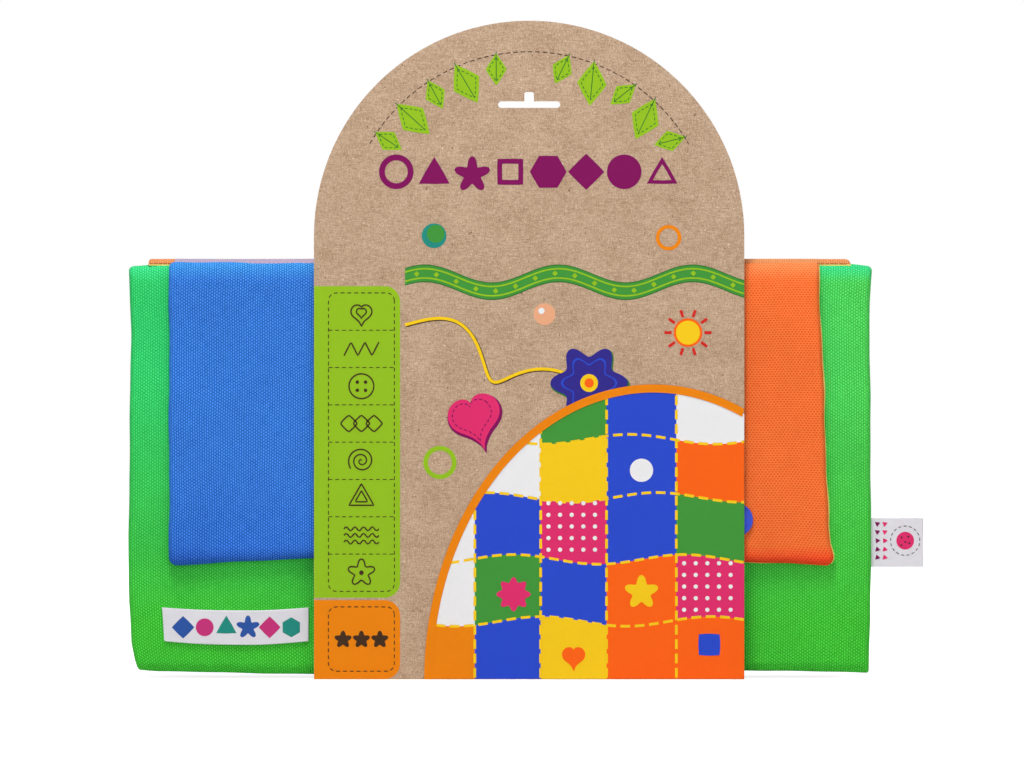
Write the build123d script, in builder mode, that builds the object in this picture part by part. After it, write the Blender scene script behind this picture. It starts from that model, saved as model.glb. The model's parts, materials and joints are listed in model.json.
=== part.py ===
from build123d import *
from math import pi, radians, tan
import os

os.makedirs("parts", exist_ok=True)

# A soft fabric busy board, folded in three behind a retail sleeve card. +X is to the right of
# its front, +Y goes from the front to the back, +Z is up. The origin is under the middle of it.

# ---- driving dimensions, in millimetres -------------------------------------------------

# Layers from the front to the back.
CARD = 0.8
CARD_GAP = 2.2
FLAP = 5.0
COVER = 8.0
FOLD_ROOM = 13.5
PANEL = 5.0
PANEL_GAP = 0.5
LINING = 0.8
DOOR = 3.6
WEBBING = 1.4
FRONT_TO_BACK = 48.0

Y_CARD = -FRONT_TO_BACK / 2
Y_CARD_BACK = Y_CARD + CARD
Y_FLAP = Y_CARD_BACK + CARD_GAP
Y_COVER = Y_FLAP + FLAP
Y_COVER_BACK = Y_COVER + COVER
Y_ORANGE = Y_COVER_BACK + FOLD_ROOM
Y_ORANGE_BACK = Y_ORANGE + PANEL
Y_BLUE = Y_ORANGE_BACK + PANEL_GAP
Y_BLUE_BACK = Y_BLUE + PANEL

# Outlines, seen from the front.
CARD_LEFT, CARD_RIGHT, CARD_TOP = -109.0, 113.1, 340.0
COVER_LEFT, COVER_RIGHT = -205.0, 177.9
COVER_LOW, COVER_TOP = 3.9, 214.4
PANEL_LEFT, PANEL_RIGHT, PANEL_LOW = -192.6, 168.6, 4.0
ORANGE_TOP, BLUE_TOP = 213.0, 207.5
FOLD_TOP = 217.5
FLAP_TOP = 215.4

WEB_WIDTH = 25.0
CORD = 2.4
CORD_RUNNING = 0.08
SOFT_GAP = 0.3
STRAP_LIFT = 1.1

BEAD = 15.0
BEAD_REST_LEFT, BEAD_REST_RIGHT = 67.0, 108.0


# ---- helpers ----------------------------------------------------------------------------

def save(piece, node):
    """Label one finished sub-part and write it to its own STEP file."""
    piece.label = node
    export_step(piece, f"parts/{node}.step")


def facing(y):
    """The upright plane at depth y, with its x along +X and its y along +Z."""
    return Plane(origin=(0, y, 0), x_dir=(1, 0, 0), z_dir=(0, -1, 0))


def pad(left, right, low, top, front, back, corner, rim_front=0.0, rim_back=0.0):
    """A flat upright pad with rounded corners, and soft rims where they are given."""
    with BuildPart() as body:
        with BuildSketch(facing(front)):
            with Locations(((left + right) / 2, (low + top) / 2)):
                RectangleRounded(right - left, top - low, corner)
        extrude(amount=front - back)
        if rim_front:
            fillet(body.faces().sort_by(Axis.Y)[0].edges(), rim_front)
        if rim_back:
            fillet(body.faces().sort_by(Axis.Y)[-1].edges(), rim_back)
    return body.part


def cord_radii(points):
    """The largest tangent arc at each corner: 0.45 of the shorter run over tan(half the turn)."""
    corners = [Vector(*point) for point in points]
    radii = []
    for before, here, after in zip(corners, corners[1:], corners[2:]):
        run_in = here - before
        run_out = after - here
        shorter = min(run_in.length, run_out.length)
        radii.append(0.45 * shorter / tan(radians(run_in.get_angle(run_out)) / 2))
    return radii


def cord(points, diameter, name):
    """A round cord along straight runs that are joined by tangent arcs."""
    radii = cord_radii(points)
    with BuildPart() as body:
        with BuildLine() as route:
            FilletPolyline(*points, radius=radii)
        path = route.wires()[0]
        with BuildSketch(path ^ 0):
            Circle(diameter / 2)
        sweep(path=path)
    length = path.length
    share = body.part.volume / (pi * diameter ** 2 / 4 * length)
    print(f"{name}: {length:.1f} mm long, radii", [round(r, 1) for r in radii], f"volume share {share:.3f}")
    return body.part


# ---- sleeve card ------------------------------------------------------------------------

CARD_MIDDLE = (CARD_LEFT + CARD_RIGHT) / 2
ARCH = (CARD_RIGHT - CARD_LEFT) / 2
ARCH_BASE = CARD_TOP - ARCH
SHELF_BACK = Y_ORANGE - 0.5
SLOT_LENGTH, SLOT_HEIGHT, SLOT_Z = 32.0, 3.4, 296.7
PEAK_WIDTH, PEAK_TOP = 4.9, 303.2
TONGUE_TOP, TONGUE_INSET, TONGUE_GAP = 45.0, 14.0, 0.4

# One sheet: an upright front with a round top and a hang slot, and a shelf folded under the board.
with BuildPart() as sleeve_card:
    with BuildSketch(facing(Y_CARD)):
        with BuildLine():
            Polyline((CARD_LEFT, ARCH_BASE), (CARD_LEFT, 0), (CARD_RIGHT, 0), (CARD_RIGHT, ARCH_BASE))
            ThreePointArc((CARD_RIGHT, ARCH_BASE), (CARD_MIDDLE, CARD_TOP), (CARD_LEFT, ARCH_BASE))
        make_face()
        with Locations((CARD_MIDDLE, SLOT_Z)):
            SlotOverall(SLOT_LENGTH, SLOT_HEIGHT, mode=Mode.SUBTRACT)
        with Locations((CARD_MIDDLE, (SLOT_Z + PEAK_TOP) / 2)):
            RectangleRounded(PEAK_WIDTH, PEAK_TOP - SLOT_Z, 1.2, mode=Mode.SUBTRACT)
    extrude(amount=-CARD)
    with BuildSketch(Plane.XY):
        with Locations((CARD_MIDDLE, (Y_CARD + SHELF_BACK) / 2)):
            Rectangle(CARD_RIGHT - CARD_LEFT, SHELF_BACK - Y_CARD)
    extrude(amount=CARD)
save(sleeve_card.part, "sleeve_card")

# The tongue stands behind the green cover, with its foot glued to the shelf.
with BuildPart() as sleeve_tongue:
    with BuildSketch(facing(Y_COVER_BACK + TONGUE_GAP)):
        with Locations((CARD_MIDDLE, (CARD + TONGUE_TOP) / 2)):
            RectangleRounded(CARD_RIGHT - CARD_LEFT - 2 * TONGUE_INSET, TONGUE_TOP - CARD, 0.5)
    extrude(amount=-CARD)
    with BuildSketch(Plane.XY.offset(CARD)):
        with Locations((CARD_MIDDLE, (Y_COVER + Y_COVER_BACK + TONGUE_GAP + CARD) / 2)):
            Rectangle(CARD_RIGHT - CARD_LEFT - 2 * TONGUE_INSET, COVER + TONGUE_GAP + CARD)
    extrude(amount=CARD)
save(sleeve_tongue.part, "sleeve_tongue")


# ---- green cover ------------------------------------------------------------------------

COVER_SKIN, COVER_INSERT, HEM = 2.4, 3.2, 6.0


def cover_outline(inset):
    """The cover's outline: its left edge curves in to the bottom, its right edge leans in."""
    left, right = COVER_LEFT + inset, COVER_RIGHT - inset
    low, top = COVER_LOW + inset, COVER_TOP - inset
    with BuildSketch() as outline:
        with BuildLine():
            Polyline((left, 46), (left, top), (right, top), (right - 2.1, low), (left + 6.2, low))
            ThreePointArc((left + 6.2, low), (left + 2.2, 22), (left, 46))
        make_face()
        fillet(outline.vertices().group_by(Axis.Y)[-1], 3.5)
        fillet(outline.vertices().group_by(Axis.Y)[0], 3.0)
    return outline.sketch


with BuildPart() as green_cover:
    with BuildSketch(facing(Y_COVER)):
        add(cover_outline(0))
    extrude(amount=-(COVER_SKIN + COVER_INSERT))
    fillet(green_cover.faces().sort_by(Axis.Y)[0].edges(), 2.0)
    with BuildSketch(facing(Y_COVER + COVER_SKIN)):
        add(cover_outline(HEM))
    extrude(amount=-COVER_INSERT, mode=Mode.SUBTRACT)
save(green_cover.part, "green_cover")

with BuildPart() as cover_insert:
    with BuildSketch(facing(Y_COVER + COVER_SKIN)):
        add(cover_outline(HEM + SOFT_GAP))
    extrude(amount=-COVER_INSERT)
save(cover_insert.part, "cover_insert")

with BuildPart() as cover_lining:
    with BuildSketch(facing(Y_COVER + COVER_SKIN + COVER_INSERT)):
        add(cover_outline(0))
    extrude(amount=-(COVER - COVER_SKIN - COVER_INSERT))
    fillet(cover_lining.faces().sort_by(Axis.Y)[-1].edges(), 1.5)
save(cover_lining.part, "cover_lining")

# The orange strip that bridges the fold at the top.
with BuildPart() as top_fold:
    with BuildSketch(facing(Y_COVER)):
        with Locations(((PANEL_LEFT + PANEL_RIGHT) / 2, (COVER_TOP + FOLD_TOP) / 2)):
            Rectangle(PANEL_RIGHT - PANEL_LEFT, FOLD_TOP - COVER_TOP)
    extrude(amount=-(COVER + FOLD_ROOM - 0.5))
    fillet(top_fold.faces().sort_by(Axis.Z)[-1].edges(), 1.4)
save(top_fold.part, "top_fold")


# ---- flaps on the front -----------------------------------------------------------------

with BuildPart() as blue_flap:
    with BuildSketch(facing(Y_FLAP)) as blue_shape:
        with BuildLine():
            Polyline((-184.3, 59.1), (-109, 62.5), (-20, 64), (-20, FLAP_TOP), (-184.3, FLAP_TOP), close=True)
        make_face()
        fillet(blue_shape.vertices().group_by(Axis.X)[0], 4.0)
    extrude(amount=-FLAP)
    fillet(blue_flap.faces().sort_by(Axis.Y)[0].edges(), 1.8)
save(blue_flap.part, "blue_flap")

with BuildPart() as orange_flap:
    with BuildSketch(facing(Y_FLAP)) as orange_shape:
        with BuildLine():
            Polyline((5, 63), (158.8, 60.1), (152.1, FLAP_TOP), (5, FLAP_TOP), close=True)
        make_face()
        fillet(orange_shape.vertices().filter_by(lambda corner: corner.X > CARD_RIGHT), 4.0)
    extrude(amount=-FLAP)
    fillet(orange_flap.faces().sort_by(Axis.Y)[0].edges(), 1.8)
save(orange_flap.part, "orange_flap")

# A blue tab reaches from the blue flap over the orange one and holds by hook and loop.
TAB_LEFT, TAB_RIGHT, TAB_Z, TAB_HALF, TAB = -60.0, 117.5, 84.1, 9.6, 1.6
PATCH_LENGTH, PATCH_WIDTH, PATCH = 40.0, 14.0, 0.8
PATCH_X = 90.0

with BuildPart() as closure_tab:
    with BuildSketch(facing(Y_FLAP - TAB)):
        with Locations(((TAB_LEFT + TAB_RIGHT) / 2, TAB_Z)):
            SlotOverall(TAB_RIGHT - TAB_LEFT, 2 * TAB_HALF)
    extrude(amount=-TAB)
    with BuildSketch(facing(Y_FLAP - PATCH)):
        with Locations((PATCH_X, TAB_Z)):
            Rectangle(PATCH_LENGTH, PATCH_WIDTH)
    extrude(amount=-PATCH, mode=Mode.SUBTRACT)
save(closure_tab.part, "closure_tab")

loop_patch = pad(PATCH_X - PATCH_LENGTH / 2 + 0.2, PATCH_X + PATCH_LENGTH / 2 - 0.2,
                 TAB_Z - PATCH_WIDTH / 2 + 0.2, TAB_Z + PATCH_WIDTH / 2 - 0.2,
                 Y_FLAP - PATCH, Y_FLAP, 1.0)
save(loop_patch, "loop_patch")

woven_label = pad(-187.4, -110.0, 18.6, 37.4, Y_COVER - 0.8, Y_COVER, 1.0)
save(woven_label, "woven_label")

# A folded tape sewn into the cover's right edge.
TAG_LEFT, TAG_RIGHT, TAG_LOW, TAG_TOP, TAG_TAPE = 177.9, 205.0, 58.8, 83.9, 0.5
with BuildPart() as side_tag:
    with BuildSketch(Plane.XY.offset(TAG_LOW)):
        with Locations(((TAG_LEFT + TAG_RIGHT) / 2, Y_COVER + COVER / 2)):
            Rectangle(TAG_RIGHT - TAG_LEFT, 3 * TAG_TAPE)
        with Locations(((TAG_LEFT + TAG_RIGHT) / 2 - 0.4, Y_COVER + COVER / 2)):
            Rectangle(TAG_RIGHT - TAG_LEFT - 0.8, TAG_TAPE, mode=Mode.SUBTRACT)
    extrude(amount=TAG_TOP - TAG_LOW)
save(side_tag.part, "side_tag")


# ---- zip and buttons on the cover's lining ----------------------------------------------

ZIP_LEFT, ZIP_RIGHT, ZIP_Z = -185.0, -35.0, 160.0
ZIP_TAPE, ZIP_WIDTH = 1.0, 30.0
TOOTH_PITCH, TOOTH, TOOTH_HEIGHT, CHAIN_HALF = 2.5, 1.1, 1.6, 3.0
Y_ZIP = Y_COVER_BACK + ZIP_TAPE
SLIDER_LENGTH, SLIDER_WALL, SLIDER_GAP = 13.0, 1.0, 0.3
SLIDER_X = ZIP_LEFT + 14.0

zip_tape = pad(ZIP_LEFT, ZIP_RIGHT, ZIP_Z - ZIP_WIDTH / 2, ZIP_Z + ZIP_WIDTH / 2, Y_COVER_BACK, Y_ZIP, 1.0)
save(zip_tape, "zip_tape")

# Two rows of teeth that mesh along a thin core.
tooth_count = int((ZIP_RIGHT - ZIP_LEFT - 12) / TOOTH_PITCH)
zip_middle = (ZIP_LEFT + ZIP_RIGHT) / 2
with BuildPart() as zip_teeth:
    with Locations((zip_middle, Y_ZIP + 0.3, ZIP_Z)):
        Box(tooth_count * TOOTH_PITCH, 0.6, 2 * CHAIN_HALF)
    for side in (-1, 1):
        shift = TOOTH_PITCH / 4 * side
        with Locations((zip_middle + shift, Y_ZIP + TOOTH_HEIGHT / 2, ZIP_Z + side * CHAIN_HALF / 2)):
            with GridLocations(TOOTH_PITCH, 1, tooth_count - 1, 1):
                Box(TOOTH, TOOTH_HEIGHT, CHAIN_HALF)
save(zip_teeth.part, "zip_teeth")

with BuildPart() as zip_slider:
    with Locations((SLIDER_X, Y_ZIP + 0.2 + (TOOTH_HEIGHT + SLIDER_WALL) / 2, ZIP_Z)):
        Box(SLIDER_LENGTH, TOOTH_HEIGHT + SLIDER_WALL, 2 * (CHAIN_HALF + SLIDER_GAP + SLIDER_WALL))
    fillet(zip_slider.edges().filter_by(Axis.Y), 2.0)
    with Locations((SLIDER_X, Y_ZIP + (TOOTH_HEIGHT + SLIDER_GAP) / 2, ZIP_Z)):
        Box(SLIDER_LENGTH + 1, TOOTH_HEIGHT + SLIDER_GAP, 2 * (CHAIN_HALF + SLIDER_GAP), mode=Mode.SUBTRACT)
save(zip_slider.part, "zip_slider")

slider_top = Y_ZIP + 0.2 + TOOTH_HEIGHT + SLIDER_WALL
with BuildPart() as zip_pull:
    with BuildSketch(facing(slider_top)):
        with BuildLine():
            Polyline((SLIDER_X - 2.4, ZIP_Z + 3), (SLIDER_X + 2.4, ZIP_Z + 3), (SLIDER_X + 4.2, ZIP_Z - 22),
                     (SLIDER_X - 4.2, ZIP_Z - 22), close=True)
        make_face()
        with Locations((SLIDER_X, ZIP_Z - 16)):
            SlotOverall(7, 3, rotation=90, mode=Mode.SUBTRACT)
    extrude(amount=-1.4)
    fillet(zip_pull.edges().filter_by(Axis.Y).group_by(Axis.Z)[0], 2.0)
save(zip_pull.part, "zip_pull")

BUTTON_Z = 95.0
OCTAGON_X, OCTAGON, OCTAGON_THICK = -150.0, 30.0, 4.5
SQUARE_X, SQUARE, SQUARE_THICK = -95.0, 25.0, 4.0
SHANK = 1.0

with BuildPart() as octagon_button:
    with BuildSketch(facing(Y_COVER_BACK + SHANK)):
        with Locations((OCTAGON_X, BUTTON_Z)):
            RegularPolygon(OCTAGON / 2, 8, major_radius=False, rotation=22.5)
            with GridLocations(8, 8, 2, 2):
                Circle(1.6, mode=Mode.SUBTRACT)
    extrude(amount=-OCTAGON_THICK)
    with BuildSketch(facing(Y_COVER_BACK + SHANK + OCTAGON_THICK - 1)):
        with Locations((OCTAGON_X, BUTTON_Z)):
            Circle(OCTAGON / 2 - 3.5)
            with GridLocations(8, 8, 2, 2):
                Circle(1.6, mode=Mode.SUBTRACT)
    extrude(amount=-1, mode=Mode.SUBTRACT)
save(octagon_button.part, "octagon_button")

with BuildPart() as square_button:
    with BuildSketch(facing(Y_COVER_BACK + SHANK)):
        with Locations((SQUARE_X, BUTTON_Z)):
            RectangleRounded(SQUARE, SQUARE, 4, rotation=40)
            with GridLocations(8, 1, 2, 1):
                Circle(1.6, mode=Mode.SUBTRACT)
    extrude(amount=-SQUARE_THICK)
    fillet(square_button.faces().sort_by(Axis.Y)[-1].outer_wire().edges(), 1.0)
save(square_button.part, "square_button")

# Thread shanks that hold both buttons off the cloth.
with BuildPart() as button_shanks:
    with BuildSketch(facing(Y_COVER_BACK)):
        with Locations((OCTAGON_X, BUTTON_Z), (SQUARE_X, BUTTON_Z)):
            Circle(3.2)
    extrude(amount=-SHANK)
save(button_shanks.part, "button_shanks")


# ---- the two folding panels -------------------------------------------------------------

PANEL_SKIN, PANEL_INSERT = 1.4, 2.0


def panel_layers(top, front, names):
    """A panel as a front cloth with a turned hem, a stiff insert in its pocket and a back cloth."""
    insert_front = front + PANEL_SKIN
    cloth_front = insert_front + PANEL_INSERT
    with BuildPart() as shell:
        add(pad(PANEL_LEFT, PANEL_RIGHT, PANEL_LOW, top, front, cloth_front, 4.0, rim_front=1.2))
        add(pad(PANEL_LEFT + HEM, PANEL_RIGHT - HEM, PANEL_LOW + HEM, top - HEM, insert_front, cloth_front, 3.0),
            mode=Mode.SUBTRACT)
    save(shell.part, names[0])
    inner = HEM + SOFT_GAP
    board = pad(PANEL_LEFT + inner, PANEL_RIGHT - inner, PANEL_LOW + inner, top - inner,
                insert_front, cloth_front, 3.0)
    save(board, names[1])
    cloth = pad(PANEL_LEFT, PANEL_RIGHT, PANEL_LOW, top, cloth_front, front + PANEL, 4.0, rim_back=1.2)
    save(cloth, names[2])


panel_layers(ORANGE_TOP, Y_ORANGE, ("orange_panel_face", "orange_panel_insert", "orange_panel_back"))
panel_layers(BLUE_TOP, Y_BLUE, ("blue_panel_back", "blue_panel_insert", "blue_panel_face"))


# ---- orange panel: doors with a side-release buckle -------------------------------------

LOW_DOOR_LEFT, LOW_DOOR_RIGHT, LOW_DOOR_LOW, LOW_DOOR_TOP = 54.0, 152.0, 24.0, 144.0
Y_LOW_LINING = Y_ORANGE - LINING
Y_LOW_DOOR = Y_LOW_LINING - DOOR
LOW_SPLIT = (LOW_DOOR_LEFT + LOW_DOOR_RIGHT) / 2

save(pad(LOW_DOOR_LEFT + 2, LOW_DOOR_RIGHT - 2, LOW_DOOR_LOW + 2, LOW_DOOR_TOP - 2,
         Y_LOW_LINING, Y_ORANGE, 3.0), "blue_door_lining")
save(pad(LOW_DOOR_LEFT, LOW_SPLIT - 0.7, LOW_DOOR_LOW, LOW_DOOR_TOP, Y_LOW_DOOR, Y_LOW_LINING, 3.0, 1.2),
     "blue_door_inner")
save(pad(LOW_SPLIT + 0.7, LOW_DOOR_RIGHT, LOW_DOOR_LOW, LOW_DOOR_TOP, Y_LOW_DOOR, Y_LOW_LINING, 3.0, 1.2),
     "blue_door_outer")

BUCKLE_Z = 79.0
Y_STRAP = Y_LOW_DOOR - WEBBING
SOCKET_LEFT, SOCKET_RIGHT, SOCKET_HALF, SOCKET_DEPTH = 99.0, 128.0, 16.0, 7.5
PLUG_LEFT, PLUG_STEP, PRONG_END = 70.0, 98.2, 121.0

save(pad(SOCKET_RIGHT, LOW_DOOR_RIGHT - 1, BUCKLE_Z - WEB_WIDTH / 2, BUCKLE_Z + WEB_WIDTH / 2,
         Y_STRAP, Y_LOW_DOOR, 0.6), "socket_webbing")
save(pad(LOW_DOOR_LEFT + 1, PLUG_STEP, BUCKLE_Z - WEB_WIDTH / 2, BUCKLE_Z + WEB_WIDTH / 2,
         Y_STRAP, Y_LOW_DOOR, 0.6), "plug_webbing")

# The socket: an oval tube, open towards the plug, with a window in each side.
socket_front = Y_LOW_DOOR - SOCKET_DEPTH
with BuildPart() as buckle_socket:
    add(pad(SOCKET_LEFT, SOCKET_RIGHT, BUCKLE_Z - SOCKET_HALF, BUCKLE_Z + SOCKET_HALF,
            socket_front, Y_LOW_DOOR, 5.0, 1.5))
    with Locations(((SOCKET_LEFT + 24) / 2 + 49, socket_front + 1.2 + 2.45, BUCKLE_Z)):
        Box(SOCKET_RIGHT - SOCKET_LEFT - 3, 4.9, 26.0, mode=Mode.SUBTRACT)
    with Locations((SOCKET_LEFT + 14, socket_front + 3.65, BUCKLE_Z)):
        Box(12, 4.9, 2 * SOCKET_HALF + 2, mode=Mode.SUBTRACT)
save(buckle_socket.part, "buckle_socket")

# The plug: a ladder bar behind, a guide in the middle and two springy arms.
prong_y = socket_front + 1.2 + 2.45
with BuildPart() as buckle_plug:
    with BuildSketch(facing(prong_y - 2.0)):
        with Locations(((PLUG_LEFT + PLUG_STEP) / 2, BUCKLE_Z)):
            RectangleRounded(PLUG_STEP - PLUG_LEFT, 2 * SOCKET_HALF - 2, 3)
            with GridLocations(11, 1, 2, 1):
                Rectangle(6, 25, mode=Mode.SUBTRACT)
        with Locations(((PLUG_STEP + PRONG_END) / 2 - 0.5, BUCKLE_Z)):
            Rectangle(PRONG_END - PLUG_STEP + 1, 5)
        with Locations(((PLUG_STEP + PRONG_END) / 2 - 0.5, BUCKLE_Z - 10.2),
                       ((PLUG_STEP + PRONG_END) / 2 - 0.5, BUCKLE_Z + 10.2)):
            Rectangle(PRONG_END - PLUG_STEP + 1, 4)
    extrude(amount=-4.0)
save(buckle_plug.part, "buckle_plug")


# ---- orange panel: drawstring pouch, stored neck down while the board is folded ---------

POUCH_X, POUCH_HALF, POUCH_NECK, POUCH_END, POUCH_DEPTH = 8.5, 26.5, 66.0, 141.0, 10.0
TAB_LOW = 8.0

with BuildPart() as pouch:
    with BuildSketch(facing(Y_ORANGE - POUCH_DEPTH)) as pouch_shape:
        with BuildLine():
            Polyline((POUCH_X - 8, POUCH_NECK), (POUCH_X + 8, POUCH_NECK), (POUCH_X + 25, POUCH_NECK + 20),
                     (POUCH_X + POUCH_HALF, POUCH_END), (POUCH_X - POUCH_HALF, POUCH_END),
                     (POUCH_X - 25, POUCH_NECK + 20), close=True)
        make_face()
        fillet(pouch_shape.vertices().group_by(Axis.Y)[-1], 12)
        fillet(pouch_shape.vertices().group_by(Axis.Y)[1], 10)
    extrude(amount=-POUCH_DEPTH)
    fillet(pouch.faces().sort_by(Axis.Y)[0].edges(), 3.5)
save(pouch.part, "pouch")

# The gathered frill beyond the neck.
with BuildPart() as pouch_frill:
    with BuildSketch(facing(Y_ORANGE - 7)):
        with BuildLine():
            Polyline((POUCH_X - 7, POUCH_NECK), (POUCH_X - 15, POUCH_NECK - 14), (POUCH_X + 15, POUCH_NECK - 14),
                     (POUCH_X + 7, POUCH_NECK), close=True)
        make_face()
    extrude(amount=-6)
save(pouch_frill.part, "pouch_frill")

save(pad(POUCH_X - 8, POUCH_X + 8, TAB_LOW, TAB_LOW + 12, Y_ORANGE - 1.2, Y_ORANGE, 1.0), "pouch_tab")

POUCH_CORD = [
    (POUCH_X, Y_ORANGE - 2.4, TAB_LOW + 6),
    (POUCH_X + 2.5, Y_ORANGE - 5.5, TAB_LOW + 18),
    (POUCH_X - 2.0, Y_ORANGE - 8.3, TAB_LOW + 31),
    (POUCH_X + 0.5, Y_ORANGE - 9.0, TAB_LOW + 46),
    (POUCH_X, Y_ORANGE - 6.0, POUCH_NECK - 0.2),
]
save(cord(POUCH_CORD, CORD, "pouch_cord"), "pouch_cord")


# ---- blue panel: laced green doors ------------------------------------------------------

Y_UP_DOOR = Y_BLUE_BACK + LINING
Y_UP_TOP = Y_UP_DOOR + DOOR
LACE_MIDDLE, LACED_LEFT, LACED_RIGHT, LACED_LOW, LACED_TOP = 116.25, 74.9, 157.6, 32.7, 139.7

save(pad(LACED_LEFT + 2, LACED_RIGHT - 2, LACED_LOW + 2, LACED_TOP - 2, Y_BLUE_BACK, Y_UP_DOOR, 3.0),
     "green_door_lining")
save(pad(LACED_LEFT, LACE_MIDDLE - 0.7, LACED_LOW, LACED_TOP, Y_UP_DOOR, Y_UP_TOP, 3.0, 0, 1.2),
     "green_door_inner")
save(pad(LACE_MIDDLE + 0.7, LACED_RIGHT, LACED_LOW, LACED_TOP, Y_UP_DOOR, Y_UP_TOP, 3.0, 0, 1.2),
     "green_door_outer")

LACE_SIDE, LACE_FIRST, LACE_STEP, LACE_LOOPS = 9.0, 119.5, 22.0, 4
LOOP_WIDE, LOOP_TALL, LOOP_HIGH, LOOP_TAPE = 10.0, 8.0, 3.6, 0.7

# Yellow loops along both meeting edges, one side then the other.
with BuildPart() as lace_loops:
    for number in range(LACE_LOOPS):
        side = 1 if number % 2 == 0 else -1
        middle = (LACE_MIDDLE + side * LACE_SIDE, Y_UP_TOP + LOOP_HIGH / 2, LACE_FIRST - number * LACE_STEP)
        with Locations(middle):
            Box(LOOP_WIDE, LOOP_HIGH, LOOP_TALL)
    fillet(lace_loops.edges().filter_by(Axis.Z).group_by(Axis.Y)[-1], 1.5)
    for number in range(LACE_LOOPS):
        side = 1 if number % 2 == 0 else -1
        middle = (LACE_MIDDLE + side * LACE_SIDE, Y_UP_TOP + LOOP_HIGH / 2 - LOOP_TAPE,
                  LACE_FIRST - number * LACE_STEP)
        with Locations(middle):
            Box(LOOP_WIDE - 3, LOOP_HIGH, LOOP_TALL + 1, mode=Mode.SUBTRACT)
save(lace_loops.part, "lace_loops")

LACE_Y = Y_UP_TOP + CORD / 2 + 0.2
HALF_STEP = LACE_STEP / 4
LACE_ROUTE = [(LACE_MIDDLE, LACE_Y, LACE_FIRST + 3 * HALF_STEP)]
for number in range(LACE_LOOPS):
    side = 1 if number % 2 == 0 else -1
    height = LACE_FIRST - number * LACE_STEP
    LACE_ROUTE.append((LACE_MIDDLE + side * LACE_SIDE, LACE_Y, height + HALF_STEP))
    LACE_ROUTE.append((LACE_MIDDLE + side * LACE_SIDE, LACE_Y, height - HALF_STEP))
LACE_ROUTE.append((LACE_MIDDLE, LACE_Y, LACE_FIRST - (LACE_LOOPS - 1) * LACE_STEP - 3 * HALF_STEP))
save(cord(LACE_ROUTE, CORD, "lace"), "lace")

# A knot at each end of the lace.
KNOT = 2.9
with BuildPart() as lace_knots:
    with Locations(LACE_ROUTE[0], LACE_ROUTE[-1]):
        Sphere(KNOT)
    with Locations((LACE_MIDDLE, Y_UP_TOP - 5, LACE_FIRST - 33)):
        Box(20, 10, 160, mode=Mode.SUBTRACT)
save(lace_knots.part, "lace_knots")


# ---- blue panel: red hook on a doubled cord ---------------------------------------------

HOOK_X, HOOK_Y, HOOK_EYE_Z = LACE_MIDDLE, 28.4, 62.0
EYE_HOLE, EYE_WALL, EYE_THICK, BEND = 1.5, 3.0, 2.4, 3.2

HOOK_ROUTE = [
    (HOOK_X - 2.6, Y_BLUE_BACK + 3.0, 190),
    (HOOK_X - 1.6, HOOK_Y - BEND, 148),
    (HOOK_X, HOOK_Y - BEND, HOOK_EYE_Z),
    (HOOK_X, HOOK_Y + BEND, HOOK_EYE_Z),
    (HOOK_X + 1.6, HOOK_Y + BEND, 148),
    (HOOK_X + 2.6, Y_BLUE_BACK + 3.0, 190),
]
save(cord(HOOK_ROUTE, CORD, "hook_cord"), "hook_cord")

# A webbing tab with a folded bar that clamps both strands.
with BuildPart() as hook_tab:
    add(pad(HOOK_X - 9, HOOK_X + 9, 186, 203, Y_BLUE_BACK, Y_BLUE_BACK + 1.6, 1.0))
    add(pad(HOOK_X - 7, HOOK_X + 7, 190, 198.2, Y_BLUE_BACK + 1.6, Y_BLUE_BACK + 5, 1.0, 0, 1.0))
save(hook_tab.part, "hook_tab")

with BuildPart() as snap_hook:
    with BuildSketch(facing(HOOK_Y - EYE_THICK / 2)):
        with Locations((HOOK_X, HOOK_EYE_Z)):
            Circle(EYE_HOLE + EYE_WALL)
            Circle(EYE_HOLE, mode=Mode.SUBTRACT)
    extrude(amount=-EYE_THICK)
    fillet(snap_hook.edges().filter_by(GeomType.CIRCLE), 0.7)
    with BuildSketch(facing(HOOK_Y - 1.8)):
        with BuildLine() as hook_line:
            Line((HOOK_X, HOOK_EYE_Z - 3.6), (HOOK_X, HOOK_EYE_Z - 12))
            TangentArc((HOOK_X, HOOK_EYE_Z - 12), (HOOK_X - 5, HOOK_EYE_Z - 18), tangent=(0, -1))
            ThreePointArc((HOOK_X - 5, HOOK_EYE_Z - 18), (HOOK_X + 2, HOOK_EYE_Z - 36),
                          (HOOK_X + 9, HOOK_EYE_Z - 22))
        trace(line_width=4.2)
    extrude(amount=-3.6)
save(snap_hook.part, "snap_hook")


# ---- blue panel: orange doors with a belt and slider ------------------------------------

BELT_LEFT, BELT_RIGHT, BELT_LOW, BELT_TOP = -32.0, 65.6, 29.3, 150.0
BELT_SPLIT = (BELT_LEFT + BELT_RIGHT) / 2
BELT_Z = 84.5
Y_BELT = Y_UP_TOP + STRAP_LIFT
SLIDE_X, SLIDE_LENGTH, SLIDE_TALL = 27.0, 22.0, 33.0

save(pad(BELT_LEFT + 2, BELT_RIGHT - 2, BELT_LOW + 2, BELT_TOP - 2, Y_BLUE_BACK, Y_UP_DOOR, 3.0),
     "orange_door_lining")
save(pad(BELT_LEFT, BELT_SPLIT - 0.7, BELT_LOW, BELT_TOP, Y_UP_DOOR, Y_UP_TOP, 3.0, 0, 1.2),
     "orange_door_outer")
save(pad(BELT_SPLIT + 0.7, BELT_RIGHT, BELT_LOW, BELT_TOP, Y_UP_DOOR, Y_UP_TOP, 3.0, 0, 1.2),
     "orange_door_inner")

belt_low, belt_top = BELT_Z - WEB_WIDTH / 2, BELT_Z + WEB_WIDTH / 2
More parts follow.
